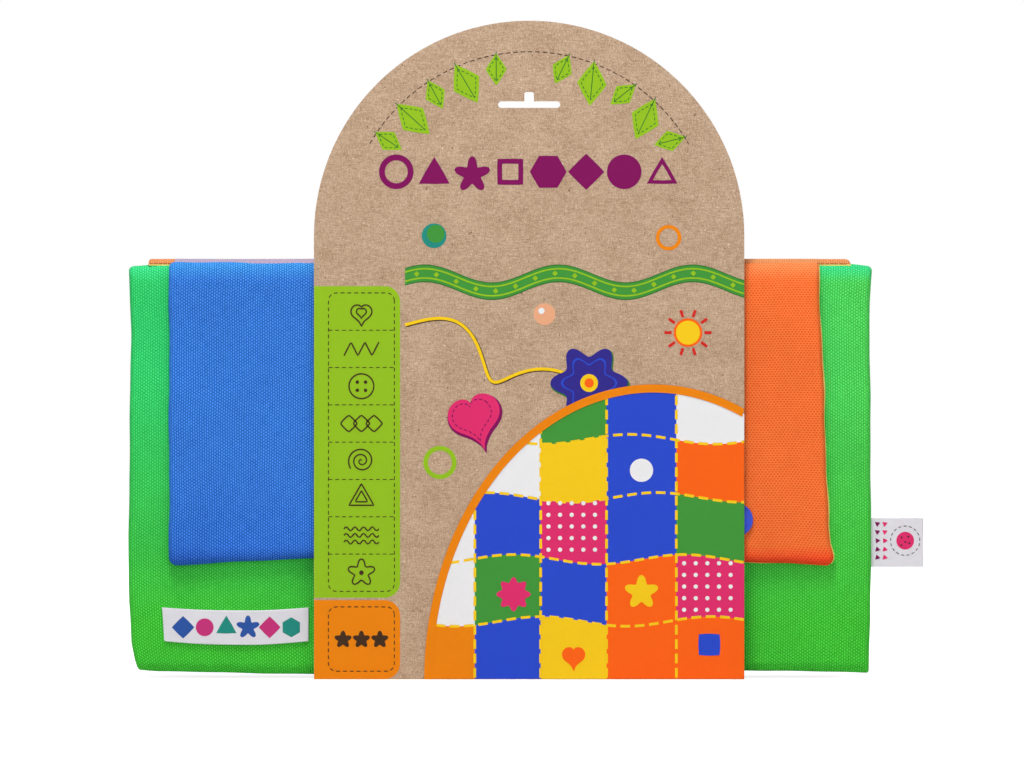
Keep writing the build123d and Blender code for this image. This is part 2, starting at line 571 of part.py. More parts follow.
# The belt's ends are folded under and sewn to the doors.
with BuildPart() as belt_webbing:
    add(pad(BELT_LEFT + 2, BELT_RIGHT - 2.6, belt_low, belt_top, Y_BELT, Y_BELT + WEBBING, 0.6))
    with Locations((BELT_LEFT + 7, Y_UP_TOP + STRAP_LIFT / 2, BELT_Z),
                   (BELT_RIGHT - 7.6, Y_UP_TOP + STRAP_LIFT / 2, BELT_Z)):
        Box(10, STRAP_LIFT, WEB_WIDTH)
save(belt_webbing.part, "belt_webbing")

# The slider: a frame round the belt with a bar across its window.
slide_back = Y_UP_TOP + 0.2
with BuildPart() as belt_slider:
    add(pad(SLIDE_X - SLIDE_LENGTH / 2, SLIDE_X + SLIDE_LENGTH / 2, BELT_Z - SLIDE_TALL / 2, BELT_Z + SLIDE_TALL / 2,
            slide_back, Y_UP_TOP + 3.6, 3.0, 0, 0.6))
    with Locations((SLIDE_X, Y_BELT + WEBBING / 2, BELT_Z)):
        Box(SLIDE_LENGTH + 1, WEBBING + 0.2, WEB_WIDTH + 0.6, mode=Mode.SUBTRACT)
    with Locations((SLIDE_X - 5, Y_BELT + 2, BELT_Z), (SLIDE_X + 5, Y_BELT + 2, BELT_Z)):
        Box(6, 4, WEB_WIDTH - 1, mode=Mode.SUBTRACT)
save(belt_slider.part, "belt_slider")


# ---- blue panel: beads on cords that hang from two eyelets ------------------------------

BEAD_LEFT_X, EYELET_LEFT_Z = 56.0, 176.5
BEAD_RIGHT_X, EYELET_RIGHT_Z = -17.0, 184.5
BEAD_LEFT_Y = Y_BELT + WEBBING + SOFT_GAP + BEAD / 2
BEAD_RIGHT_Y = Y_UP_TOP + SOFT_GAP + BEAD / 2
KNOT_DROP = 10.8

with BuildPart() as eyelets:
    with BuildSketch(facing(Y_BLUE_BACK)):
        with Locations((BEAD_LEFT_X, EYELET_LEFT_Z), (BEAD_RIGHT_X, EYELET_RIGHT_Z)):
            Circle(5.5)
            Circle(2.8, mode=Mode.SUBTRACT)
    extrude(amount=-1.2)
    fillet(eyelets.faces().group_by(Axis.Y)[-1].edges(), 0.5)
save(eyelets.part, "eyelets")


def bead(x, y, z):
    """A round bead with a bore for its cord."""
    with BuildPart() as ball:
        with Locations((x, y, z)):
            Sphere(BEAD / 2)
            Cylinder(CORD / 2 + CORD_RUNNING, BEAD + 2, mode=Mode.SUBTRACT)
    return ball.part


def bead_route(x, y, eyelet_z, bead_z):
    """Out of the eyelet, over in a short bend, then straight down under the bead's weight."""
    return [(x, Y_BLUE_BACK + 0.8, eyelet_z), (x, Y_BLUE_BACK + 0.7 * (y - Y_BLUE_BACK), eyelet_z - 6),
            (x, y, eyelet_z - 25), (x, y, bead_z - KNOT_DROP)]


LEFT_ROUTE = bead_route(BEAD_LEFT_X, BEAD_LEFT_Y, EYELET_LEFT_Z, BEAD_REST_LEFT)
RIGHT_ROUTE = bead_route(BEAD_RIGHT_X, BEAD_RIGHT_Y, EYELET_RIGHT_Z, BEAD_REST_RIGHT)
save(cord(LEFT_ROUTE, CORD, "bead_cord_left"), "bead_cord_left")
save(cord(RIGHT_ROUTE, CORD, "bead_cord_right"), "bead_cord_right")
save(bead(BEAD_LEFT_X, BEAD_LEFT_Y, BEAD_REST_LEFT), "bead_left")
save(bead(BEAD_RIGHT_X, BEAD_RIGHT_Y, BEAD_REST_RIGHT), "bead_right")

with BuildPart() as bead_knots:
    with Locations(LEFT_ROUTE[-1], RIGHT_ROUTE[-1]):
        Sphere(KNOT)
save(bead_knots.part, "bead_knots")


# ---- blue panel: flap with a press stud, and a band of loops ----------------------------

PEEK_LEFT, PEEK_RIGHT, PEEK_LOW, PEEK_TOP, PEEK = -105.0, -55.0, 110.0, 165.0, 2.6
Y_PEEK = Y_BLUE_BACK + 1.6
STUD_X, STUD_Z = (PEEK_LEFT + PEEK_RIGHT) / 2, PEEK_LOW + 10

with BuildPart() as stud_ball:
    with BuildSketch(facing(Y_BLUE_BACK)):
        with Locations((STUD_X, STUD_Z)):
            Circle(5.5)
    extrude(amount=-1.3)
    with BuildSketch(facing(Y_BLUE_BACK + 1.3)):
        with Locations((STUD_X, STUD_Z)):
            Circle(1.6)
    extrude(amount=-1.5)
save(stud_ball.part, "stud_ball")

with BuildPart() as peek_flap:
    add(pad(PEEK_LEFT, PEEK_RIGHT, PEEK_LOW, PEEK_TOP, Y_PEEK, Y_PEEK + PEEK, 5.0, 0, 1.0))
    with Locations((STUD_X, Y_PEEK + PEEK / 2, STUD_Z)):
        Cylinder(4.6, PEEK + 2, rotation=(90, 0, 0), mode=Mode.SUBTRACT)
save(peek_flap.part, "peek_flap")

with BuildPart() as stud_cap:
    with BuildSketch(facing(Y_PEEK)):
        with Locations((STUD_X, STUD_Z)):
            Circle(4.6)
            Circle(2.1, mode=Mode.SUBTRACT)
    extrude(amount=-PEEK)
    with BuildSketch(facing(Y_PEEK + PEEK)):
        with Locations((STUD_X, STUD_Z)):
            Circle(6.2)
    extrude(amount=-1.2)
    fillet(stud_cap.faces().sort_by(Axis.Y)[-1].edges(), 0.8)
save(stud_cap.part, "stud_cap")

BAND_LEFT, BAND_LOOP, BAND_Z, BAND_COUNT = -178.0, 20.0, 72.0, 3
BAND_HIGH, BAND_TAPE = 4.6, 1.2

# Three arches of webbing sewn down between them.
with BuildPart() as loop_band:
    with BuildSketch(Plane.XY.offset(BAND_Z - WEB_WIDTH / 2)):
        for number in range(BAND_COUNT):
            with Locations((BAND_LEFT + (number + 0.5) * BAND_LOOP, Y_BLUE_BACK)):
                Ellipse(BAND_LOOP / 2 - 0.6, BAND_HIGH)
        with Locations((BAND_LEFT + BAND_COUNT * BAND_LOOP / 2, Y_BLUE_BACK + BAND_TAPE / 2)):
            Rectangle(BAND_COUNT * BAND_LOOP + 8, BAND_TAPE)
        for number in range(BAND_COUNT):
            with Locations((BAND_LEFT + (number + 0.5) * BAND_LOOP, Y_BLUE_BACK)):
                Ellipse(BAND_LOOP / 2 - 0.6 - BAND_TAPE, BAND_HIGH - BAND_TAPE, mode=Mode.SUBTRACT)
        with Locations((BAND_LEFT + BAND_COUNT * BAND_LOOP / 2, Y_BLUE_BACK - BAND_HIGH)):
            Rectangle(BAND_COUNT * BAND_LOOP + 10, 2 * BAND_HIGH, mode=Mode.SUBTRACT)
    extrude(amount=WEB_WIDTH)
save(loop_band.part, "loop_band")
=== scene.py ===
# %% [markdown]
# # A folded fabric busy board in its sleeve card
# The board is three padded cloth panels, folded behind a kraft card with a round top. The CAD
# frame already holds every piece at its place, in metres, with +X to the right, +Y to the back
# and +Z up. Here each soft piece gets its cloth, each hard piece its finish, and the card its print.

# %% Load the frame
import json
from collections import namedtuple
import bmesh
import bpy
import numpy as np
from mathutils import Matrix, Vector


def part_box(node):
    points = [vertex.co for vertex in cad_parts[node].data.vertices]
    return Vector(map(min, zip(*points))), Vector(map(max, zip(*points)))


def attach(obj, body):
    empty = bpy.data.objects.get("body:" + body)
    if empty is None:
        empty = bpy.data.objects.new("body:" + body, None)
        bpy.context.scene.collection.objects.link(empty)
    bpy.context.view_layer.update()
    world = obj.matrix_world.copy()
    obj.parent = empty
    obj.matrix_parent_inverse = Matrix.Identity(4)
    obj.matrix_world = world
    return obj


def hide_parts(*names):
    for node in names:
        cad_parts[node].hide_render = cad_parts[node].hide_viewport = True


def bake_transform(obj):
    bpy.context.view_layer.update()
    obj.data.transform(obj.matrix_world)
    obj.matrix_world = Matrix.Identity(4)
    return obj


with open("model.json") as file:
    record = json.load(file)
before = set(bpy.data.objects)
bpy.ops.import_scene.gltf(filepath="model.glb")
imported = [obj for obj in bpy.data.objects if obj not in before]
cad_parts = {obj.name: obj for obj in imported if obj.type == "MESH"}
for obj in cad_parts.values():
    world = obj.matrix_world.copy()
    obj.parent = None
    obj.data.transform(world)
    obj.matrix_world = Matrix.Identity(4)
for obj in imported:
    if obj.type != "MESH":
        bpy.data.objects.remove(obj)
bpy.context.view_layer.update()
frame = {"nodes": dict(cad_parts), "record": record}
MM = 0.001
PI = np.pi

# %% [markdown]
# ## The stage and the camera
# The board is looked at straight on, from far enough away that its sides hardly show. A long
# lens at 2.5 metres does that. Its focal length follows from the view's width at the card.

# %% The camera
VIEW_WIDTH = 528.4 * MM
VIEW_X, VIEW_Z = -6.8 * MM, 152.5 * MM
CAMERA_AWAY = 2.5
SENSOR = 36.0
CARD_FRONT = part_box("sleeve_card")[0][1]


def add_object(name, data):
    """A new object in the scene, at the origin."""
    made = bpy.data.objects.new(name, data)
    bpy.context.collection.objects.link(made)
    return made


lens = bpy.data.cameras.new("camera")
lens.sensor_width = SENSOR
lens.lens = SENSOR * (CAMERA_AWAY + CARD_FRONT) / VIEW_WIDTH
camera = add_object("camera", lens)
camera.location = (VIEW_X, -CAMERA_AWAY, VIEW_Z)
camera.rotation_euler = (PI / 2, 0, 0)
bpy.context.scene.camera = camera
print(f"the lens is {lens.lens:.0f} mm")

# %% [markdown]
# ## Shader maths as plain expressions
# A weave is a formula, and formulas read best as formulas. `Flow` wraps one output socket, and
# its operators add Math nodes. `Nodes` holds a tree and adds every other kind of node, and a
# `Finish` is the tree of one material, with the few mixtures that cloth and card need.


# %% A socket that can be added and multiplied
class Flow:
    """A value that flows through a tree's nodes. Its operators add Math nodes."""

    def __init__(self, nodes, socket):
        self.nodes = nodes
        self.socket = socket

    def math(self, operation, first, second=0.0):
        return self.nodes.node("ShaderNodeMath", {"operation": operation}, {0: first, 1: second})

    def __add__(self, other):
        return self.math("ADD", self, other)

    def __sub__(self, other):
        return self.math("SUBTRACT", self, other)

    def __rsub__(self, other):
        return self.math("SUBTRACT", other, self)

    def __mul__(self, other):
        return self.math("MULTIPLY", self, other)

    def __truediv__(self, other):
        return self.math("DIVIDE", self, other)

    def __pow__(self, other):
        return self.math("POWER", self, other)

    def sine(self):
        return self.math("SINE", self)

    def size(self):
        return self.math("ABSOLUTE", self)

    def floor(self):
        return self.math("FLOOR", self)

    def part(self):
        return self.math("FRACT", self)

    def clamp(self):
        return self.math("MAXIMUM", self.math("MINIMUM", self, 1.0), 0.0)

    __radd__ = __add__
    __rmul__ = __mul__


class Nodes:
    """A node tree, and one method that adds any kind of node to it."""

    def __init__(self, tree):
        self.tree = tree

    def node(self, kind, settings=None, inputs=None, output=0):
        """Add a node, set it up, give its sockets numbers or links, and hand back one output."""
        made = self.tree.nodes.new(kind)
        for key, value in (settings or {}).items():
            setattr(made, key, value)
        for key, value in (inputs or {}).items():
            self.feed(made.inputs[key], value)
        return Flow(self, made.outputs[output])

    def feed(self, socket, value):
        if isinstance(value, Flow):
            self.tree.links.new(value.socket, socket)
        elif isinstance(value, tuple) and len(value) == 3 and socket.type == "RGBA":
            socket.default_value = (*value, 1)
        else:
            socket.default_value = value


class Finish(Nodes):
    """One material: its nodes and its shader."""

    def __init__(self, name, roughness=0.8, **constants):
        self.material = bpy.data.materials.new(name)
        self.material.use_nodes = True
        super().__init__(self.material.node_tree)
        self.shader = self.tree.nodes["Principled BSDF"]
        self.set(Roughness=roughness, **constants)

    def place(self, source):
        """The Object coordinates or the UV map."""
        return self.node("ShaderNodeTexCoord", output=source)

    def axes(self, place):
        """The three parts of a place."""
        split = self.node("ShaderNodeSeparateXYZ", None, {0: place})
        return [Flow(self, out) for out in split.socket.node.outputs]

    def noise(self, place, scale, detail=2.0, stretch=None, rough=0.5):
        """Noise of a given number of cells to the metre, from 0 to 1."""
        if stretch:
            place = self.node("ShaderNodeVectorMath", {"operation": "MULTIPLY"}, {0: place, 1: stretch})
        return self.node("ShaderNodeTexNoise", None,
                         {"Vector": place, "Scale": scale, "Detail": detail, "Roughness": rough}, "Fac")

    def mix(self, share, first, second):
        """Two colours mixed."""
        return self.node("ShaderNodeMix", {"data_type": "RGBA"},
                         {0: share, 6: linear(first), 7: linear(second)}, 2)

    def shade(self, colour, light):
        """A colour made darker or lighter by a value near one."""
        return self.node("ShaderNodeVectorMath", {"operation": "SCALE"}, {0: linear(colour), "Scale": light})

    def bump(self, height, distance, strength=1.0, under=None):
        """A relief of a given depth, on top of another one where there is one."""
        inputs = {"Height": height, "Distance": distance, "Strength": strength}
        if under is not None:
            inputs["Normal"] = under
        return self.node("ShaderNodeBump", None, inputs)

    def set(self, **sockets):
        """Feed the shader's own sockets."""
        for name, value in sockets.items():
            self.feed(self.shader.inputs[name.replace("_", " ")], value)
        return self.material


def linear(colour):
    """A colour picked as 0 to 255 on a screen, as the shader's linear values. A flow stays as it is."""
    if isinstance(colour, Flow):
        return colour
    picked = np.array(colour) / 255.0
    bent = np.where(picked <= 0.04045, picked / 12.92, ((picked + 0.055) / 1.055) ** 2.4)
    return tuple(float(value) for value in bent)


OBJECT, UV = "Object", "UV"
print("node helpers ready")

# %% [markdown]
# ## Cloth
# The board is sewn from a coarse polyester weave. Close up it is columns of short raised
# threads, each column shifted by half a thread, with dark gaps between them. The UV map of
# every cloth piece is in metres, so one thread is the same size on all of them. A colour is
# given as it looks from afar, and the threads and gaps are worked out so that they average to
# it. That is why a bright colour may have a part above 255. Fades along X and Z paint light and
# shade into the colour: a painted highlight along top rims, and painted shade along lower rims.

# %% Basket-weave cloth
THREAD_WIDE, THREAD_TALL, ORANGE_TALL = 1.2 * MM, 1.6 * MM, 1.8 * MM
THREAD_MEAN = 0.42
YARN_CELLS = (160.0, 2600.0)
X_FADE, Z_FADE = 0, 2
# The heights of the painted shade along the flaps' lower rims and of the painted highlight along their top
# rims.
LOW_RIM_PAINTED_SHADE, TOP_RIM_PAINTED_HIGHLIGHT = (0.069, 0.061), (0.206, 0.213)
BLUE, ORANGE = (44, 117, 215), (270, 109, 43)


def weave_height(u, v, wide, tall):
    """Columns of threads, every other one shifted by half: |sin| along times |sin| across."""
    column = (u / wide).floor()
    along = ((v / tall + column * 0.5) * PI).sine().size()
    across = ((u / wide) * PI).sine().size()
    return along * across


def threads_and_gaps(afar, spread_by, mean):
    """Light and dark tones, spread_by apart, whose mix at the mean share is about the tone from afar."""
    raised = [min(255, value + spread_by * (1 - mean)) for value in afar]
    sunken = [max(0, value - spread_by * mean) for value in afar]
    return raised, sunken


def cloth(name, afar, spread_by, light_and_shade_fades=(), tall=THREAD_TALL, turned=False, close=False):
    """Threads on darker gaps, with soft patches and uneven yarn. Each fade is an axis, the places where
    it starts and ends, and the tone that it ends in. The fades paint light and shade into the colour.
    Close threads show their gaps as dark dots."""
    finish = Finish(name, Specular_IOR_Level=0.12)
    place = finish.place(UV)
    u, v, _ = finish.axes(place)
    where = finish.axes(finish.place(OBJECT))
    threads = weave_height(*((v, u) if turned else (u, v)), THREAD_WIDE, tall)
    mean = THREAD_MEAN
    if close:
        threads, mean = 1.0 - threads, 1.0 - THREAD_MEAN
    yarn = finish.noise(place, 1.0, stretch=(*YARN_CELLS, 1.0))
    cross = finish.noise(place, 1.0, stretch=(*YARN_CELLS[::-1], 1.0))
    patch = finish.noise(place, 22.0, 4.0)
    tone = (threads + (yarn + cross - 1.0) * 0.5).clamp()
    light, dark = threads_and_gaps(afar, spread_by, mean)
    colour = finish.mix(tone, dark, light)
    for axis, start, end, ends_in in light_and_shade_fades:
        light, dark = threads_and_gaps(ends_in, spread_by, mean)
        share = ((where[axis] - start) / (end - start)).clamp()
        colour = finish.mix(share, colour, finish.mix(tone, dark, light))
    colour = finish.shade(colour, patch * 0.36 + 0.82)
    grain = finish.bump(threads + (yarn + cross) * 0.2, 0.25 * MM, 0.7)
    return finish.set(Base_Color=colour, Normal=grain)


orange_weave = dict(tall=ORANGE_TALL, turned=True, close=True)
# The green is painted lighter and yellower towards its right. It is painted darker and yellower towards its
# foot as painted shade, and bluer and lighter along its top rim as a painted highlight.
green_cloth = cloth("green_cloth", (46, 206, 106), 52,
                    [(X_FADE, 0.08, 0.19, (80, 212, 84)), (Z_FADE, 0.16, 0.03, (62, 195, 50)),
                     (Z_FADE, 0.205, 0.213, (50, 205, 124))])
blue_cloth = cloth("blue_cloth", BLUE, 74)
# The blue flap is painted darker towards its foot and along its lower rim as painted shade, and lighter along
# its top rim as a painted highlight.
blue_flap_cloth = cloth("blue_flap_cloth", BLUE, 74,
                        [(Z_FADE, 0.11, 0.065, (38, 108, 210)), (Z_FADE, *LOW_RIM_PAINTED_SHADE, (26, 88, 190)),
                         (Z_FADE, *TOP_RIM_PAINTED_HIGHLIGHT, (46, 134, 218))])
tab_cloth = cloth("tab_cloth", (66, 92, 222), 30)
orange_cloth = cloth("orange_cloth", ORANGE, 60, **orange_weave)
# The orange flap is painted redder and darker along its lower rim as painted shade, and lighter along its top
# rim as a painted highlight.
orange_flap_cloth = cloth("orange_flap_cloth", ORANGE, 60,
                          [(Z_FADE, *LOW_RIM_PAINTED_SHADE, (276, 64, 22)), (Z_FADE, *TOP_RIM_PAINTED_HIGHLIGHT, (266, 126, 66))],
                          **orange_weave)
# A paler copy of the orange cloth. Its paleness is a painted highlight where the fold and the orange flap's
# top catch the light.
painted_highlight_orange_cloth = cloth("painted_highlight_orange_cloth", (214, 136, 82), 44, turned=True)
print("cloths made")

# %% [markdown]
# ## Lining
# The inside of every door and the backs of the panels are thin cotton with white dots. The
# dots stand in shifted rows, 7 millimetres apart, and the weave under them is much finer.

# %% Dotted cotton lining
DOT_PITCH, DOT_RADIUS, DOT_EDGE = 7.0 * MM, 1.25 * MM, 0.15 * MM
FINE_WEAVE = 0.4 * MM


def dotted_lining(name, ground, dot):
    """White where the distance to the nearest dot of a shifted grid is under the radius."""
    finish = Finish(name, roughness=0.85, Sheen_Weight=0.1, Specular_IOR_Level=0.3)
    place = finish.place(UV)
    u, v, _ = finish.axes(place)
    row = (v / DOT_PITCH).floor()
    across = ((v / DOT_PITCH).part() - 0.5) * DOT_PITCH
    along = ((u / DOT_PITCH + (row * 0.5).part()).part() - 0.5) * DOT_PITCH
    away = (along * along + across * across) ** 0.5
    inside = ((DOT_RADIUS - away) / DOT_EDGE + 0.5).clamp()
    fine = weave_height(u, v, FINE_WEAVE, FINE_WEAVE)
    colour = finish.mix(inside, ground, dot)
    colour = finish.shade(colour, fine * 0.2 + 0.86)
    crease = finish.noise(place, 60.0, 3.0)
    relief = finish.bump(fine, 0.08 * MM, 0.6, finish.bump(crease, 0.6 * MM, 0.5))
    return finish.set(Base_Color=colour, Normal=relief)


lining_cloth = dotted_lining("lining_cloth", (232, 20, 88), (250, 246, 248))
print("lining made")

# %% [markdown]
# ## Webbing, tape, cord and hook-and-loop
# Webbing has slanted ribs between two firm edges, and satin tape has a fine smooth rib. A
# braided cord shows two sets of strands that cross as they wind. Its UV map runs once round
# the cord and in metres along it.


# %% Narrow goods
def stripes(value, pitch):
    """A sine of a given pitch, from 0 to 1."""
    return ((value / pitch) * 2 * PI).sine() * 0.5 + 0.5


def webbing(name, light, dark):
    """Ribs that slant one way and back: a sine of u + a zigzag of v, and a finer one of v."""
    finish = Finish(name, roughness=0.6, Sheen_Weight=0.15, Specular_IOR_Level=0.45)
    place = finish.place(UV)
    u, v, _ = finish.axes(place)
    zigzag = ((v / (3.0 * MM)).part() - 0.5).size() * 3.0 * MM
    rib = stripes(u + zigzag, 0.9 * MM)
    yarn = stripes(v, 0.5 * MM)
    fuzz = finish.noise(place, 900.0)
    tone = (rib * 0.6 + yarn * 0.25 + fuzz * 0.3).clamp()
    colour = finish.mix(tone, dark, light)
    return finish.set(Base_Color=colour, Normal=finish.bump(rib + yarn * 0.5, 0.2 * MM, 0.8))


def satin_tape(name, light, dark):
    """A smooth tape with a very fine rib and a soft gloss."""
    finish = Finish(name, roughness=0.42, Sheen_Weight=0.1, Specular_IOR_Level=0.55)
    place = finish.place(UV)
    u, v, _ = finish.axes(place)
    rib = stripes(u, 0.32 * MM)
    pick = stripes(v, 0.4 * MM)
    wave = finish.noise(place, 120.0, 3.0)
    colour = finish.mix((rib * 0.45 + pick * 0.25 + wave * 0.3).clamp(), dark, light)
    relief = finish.bump(rib + pick, 0.05 * MM, 0.7, finish.bump(wave, 0.5 * MM, 0.4))
    return finish.set(Base_Color=colour, Normal=relief)


def braid(name, light, dark):
    """Strands that cross as they wind: the product of two sines that slant opposite ways."""
    finish = Finish(name, roughness=0.55, Sheen_Weight=0.2, Specular_IOR_Level=0.45)
    place = finish.place(UV)
    around, along, _ = finish.axes(place)
    turn = along / (7.0 * MM)
    one = ((around * 4 + turn) * 2 * PI).sine()
    other = ((around * 4 - turn) * 2 * PI).sine()
    strands = (one * other) * 0.5 + 0.5
    fuzz = finish.noise(place, 700.0)
    colour = finish.mix((strands * 0.8 + fuzz * 0.3).clamp(), dark, light)
    return finish.set(Base_Color=colour, Normal=finish.bump(strands + fuzz * 0.3, 0.25 * MM, 0.9))


def fuzzy(name, light, dark):
    """The loop side of a fastener: a dense mat of tiny bumps."""
    finish = Finish(name, roughness=0.95, Sheen_Weight=0.3)
    loops = finish.noise(finish.place(OBJECT), 1800.0, 3.0, rough=0.7)
    return finish.set(Base_Color=finish.mix(loops, dark, light), Normal=finish.bump(loops, 0.5 * MM))


yellow_webbing = webbing("yellow_webbing", (255, 214, 40), (214, 148, 4))
green_tape = webbing("green_tape", (64, 190, 70), (14, 110, 30))
white_tape = satin_tape("white_tape", (240, 238, 243), (214, 210, 220))
# The lilac tape binds the blue flap's top. Its pale tone is a painted highlight there.
lilac_painted_highlight_tape = satin_tape("lilac_painted_highlight_tape", (186, 168, 194), (160, 136, 164))
yellow_cord = braid("yellow_cord", (255, 206, 62), (206, 132, 8))
hook_and_loop = fuzzy("hook_and_loop", (60, 110, 220), (16, 44, 130))
print("narrow goods made")

# %% [markdown]
# ## Kraft card and printing ink
# Kraft card is unbleached fibre: a warm brown with pale and dark flecks and short fibres that
# lie every way. The ink is printed on it and lets some of the fibre through, so the ink's
# finish repeats the card's own pattern more faintly. Both read Object coordinates.

# %% Kraft card
FIBRE = {"cloud": dict(scale=70.0, detail=5.0, rough=0.65), "fine": dict(scale=1500.0, detail=3.0, rough=0.7),
         "level": dict(scale=1.0, detail=3.0, stretch=(350.0, 350.0, 1500.0)),
         "upright": dict(scale=1.0, detail=3.0, stretch=(1700.0, 1700.0, 420.0))}


def fibre(finish, *layers):
    """The cloudy tone, the fibres that lie level or upright and the fine grain, each from 0 to 1."""
    place = finish.place(OBJECT)
    return [finish.noise(place, **FIBRE[layer]) for layer in layers]


def kraft(name):
    """The card's tone, then flecks: what of a noise is above a level, made steep and clamped."""
    finish = Finish(name, roughness=0.82, Specular_IOR_Level=0.2)
    cloud, level, upright, fine = fibre(finish, "cloud", "level", "upright", "fine")
    tone = (cloud * 0.5 + level * 0.8 + upright * 0.8 + fine * 1.9 - 1.5).clamp()
    colour = finish.mix(tone, (152, 118, 90), (220, 192, 164))
    place = finish.place(OBJECT)
    for scale, stretch, above, steep, share, picked in (
            (1.0, (420.0, 420.0, 1100.0), 0.685, 16.0, 0.55, (116, 84, 58)),
            (640.0, None, 0.70, 14.0, 0.85, (88, 60, 42)),
            (820.0, (0.9, 1.0, 1.5), 0.67, 12.0, 0.75, (244, 226, 204))):
        fleck = ((finish.noise(place, scale, stretch=stretch) - above) * steep).clamp()
        colour = finish.mix(fleck * share, colour, picked)
    return finish.set(Base_Color=colour, Normal=finish.bump(fine + level, 0.16 * MM, 0.6))


def ink(name, picked, cover):
    """Ink on the card: the colour, a little of the fibre's tone, and hardly any gloss."""
    finish = Finish(name, roughness=0.7, Specular_IOR_Level=0.1)
    cloud, level, fine = fibre(finish, "cloud", "level", "fine")
    tone = fine * 0.5 + level * 0.25 + cloud * 0.25
    bare = finish.mix(tone, (150, 116, 84), (214, 180, 148))
    colour = finish.shade(finish.mix(cover, bare, picked), tone * 0.16 + 0.92)
    return finish.set(Base_Color=colour, Normal=finish.bump(fine, 0.05 * MM, 0.4))


INK_COVER, WHITE_COVER = 0.985, 0.97
INK_TONES = {
    "lime": (147, 193, 30), "orange": (240, 134, 4), "purple": (128, 4, 90), "green": (62, 150, 58),
    "leaf": (48, 116, 44), "navy": (46, 40, 140), "pink": (226, 44, 110), "peach": (236, 170, 130),
    "yellow": (250, 205, 24), "red": (214, 34, 30), "blue": (36, 74, 206), "royal": (40, 84, 164),
    "rose": (200, 50, 122), "vivid": (255, 100, 16), "brown": (64, 42, 26), "white": (240, 240, 242),
    "teal": (28, 140, 128),
}
INKS = {name: ink(f"{name}_ink", tone, WHITE_COVER if name == "white" else INK_COVER)
        for name, tone in INK_TONES.items()}
print(len(INKS), "inks made")

# %% [markdown]
# ## Plastic, paint and metal
# Moulded plastic is nearly smooth, with a faint orange-peel skin. The beads are painted wood,
# and the eyelets and studs are pressed steel with fine turning marks. Each entry of `FINISHES`
# is named after the material that the CAD frame gives to its nodes.


# %% Hard finishes
def moulded(name, colour, roughness=0.32):
    """Plastic with a faint orange-peel skin and slightly uneven gloss."""
    finish = Finish(name, Specular_IOR_Level=0.5)
    place = finish.place(OBJECT)
    skin = finish.noise(place, 420.0)
    wear = finish.noise(place, 90.0, 3.0)
    return finish.set(Base_Color=finish.shade(colour, wear * 0.12 + 0.94),
                      Roughness=wear * 0.16 + (roughness - 0.08),
                      Normal=finish.bump(skin, 0.06 * MM, 0.4))


def painted_wood(name, colour):
    """White lacquer over turned wood, with the grain just showing through."""
    finish = Finish(name, roughness=0.3, Coat_Weight=0.3, Coat_Roughness=0.15)
    grain = finish.noise(finish.place(OBJECT), 1.0, 3.0, stretch=(900.0, 900.0, 120.0))
    return finish.set(Base_Color=finish.shade(colour, grain * 0.1 + 0.93),
                      Normal=finish.bump(grain, 0.05 * MM, 0.4))


def pressed_steel(name):
    """Nickel-plated steel with fine marks."""
    finish = Finish(name, Metallic=1.0)
    marks = finish.noise(finish.place(OBJECT), 1.0, stretch=(3000.0, 400.0, 3000.0))
    return finish.set(Base_Color=finish.mix(marks, (196, 198, 202), (232, 232, 234)),
                      Roughness=marks * 0.2 + 0.2, Normal=finish.bump(marks, 0.02 * MM, 0.5))


def grey_board(name):
    """Recycled board: the card's own fibre in grey."""
    finish = Finish(name, roughness=0.9)
    fine, cloud = fibre(finish, "fine", "cloud")
    colour = finish.mix((fine * 0.6 + cloud * 0.4).clamp(), (140, 136, 128), (186, 182, 172))
    return finish.set(Base_Color=colour, Normal=finish.bump(fine, 0.1 * MM, 0.5))


def plain_cotton(name, light, dark):
    """Plain thin cotton, in two tones of one colour."""
    finish = Finish(name, roughness=0.85)
    return finish.set(Base_Color=finish.mix(finish.noise(finish.place(OBJECT), 300.0), dark, light))


pale_cotton = plain_cotton("pale_cotton", (254, 242, 150), (240, 216, 92))
GLOSSY = 0.22
FINISHES = {made.name.split(".")[0]: made for made in (
    kraft("kraft_card"), green_cloth, blue_cloth, orange_cloth, lining_cloth, grey_board("insert_board"),
    white_tape, green_tape, hook_and_loop, yellow_webbing, yellow_cord,
    moulded("green_plastic", (66, 168, 40)), moulded("dark_green_plastic", (10, 134, 66)),
    moulded("blue_plastic", (52, 44, 152), GLOSSY),
    moulded("pink_plastic", (236, 58, 112), GLOSSY), moulded("red_plastic", (228, 44, 20)),
    painted_wood("white_wood", (246, 244, 238)), pressed_steel("steel"))}

for entry in frame["record"]["subparts"]:
    node = frame["nodes"][entry["node"]]
    node.data.materials.clear()
    node.data.materials.append(FINISHES[entry["material_slot"]])
print(len(FINISHES), "finishes on", len(frame["nodes"]), "nodes")

# %% [markdown]
# ## Surfaces from a grid
# Every new piece is a function of two parameters, worked out for a whole grid at once.
# `grid_piece` turns a grid of points into a mesh, and can close it round in either direction.
# `pillow` joins a front grid and a back grid along their common edge, so that it is closed.


# %% Mesh builders
def mesh_object(name, points, faces, uv):
    """A smooth-shaded mesh object at the origin, with one UV map in metres."""
    mesh = bpy.data.meshes.new(name)
    mesh.from_pydata(points.tolist(), [], faces if isinstance(faces, list) else faces.tolist())
    loops = np.empty(len(mesh.loops), dtype=np.int32)
    mesh.loops.foreach_get("vertex_index", loops)
    layer = mesh.uv_layers.new(name="UVMap")
    layer.data.foreach_set("uv", uv[loops].astype(np.float32).ravel())
    mesh.polygons.foreach_set("use_smooth", np.ones(len(mesh.polygons), dtype=bool))
    mesh.update()
    return add_object(name, mesh)


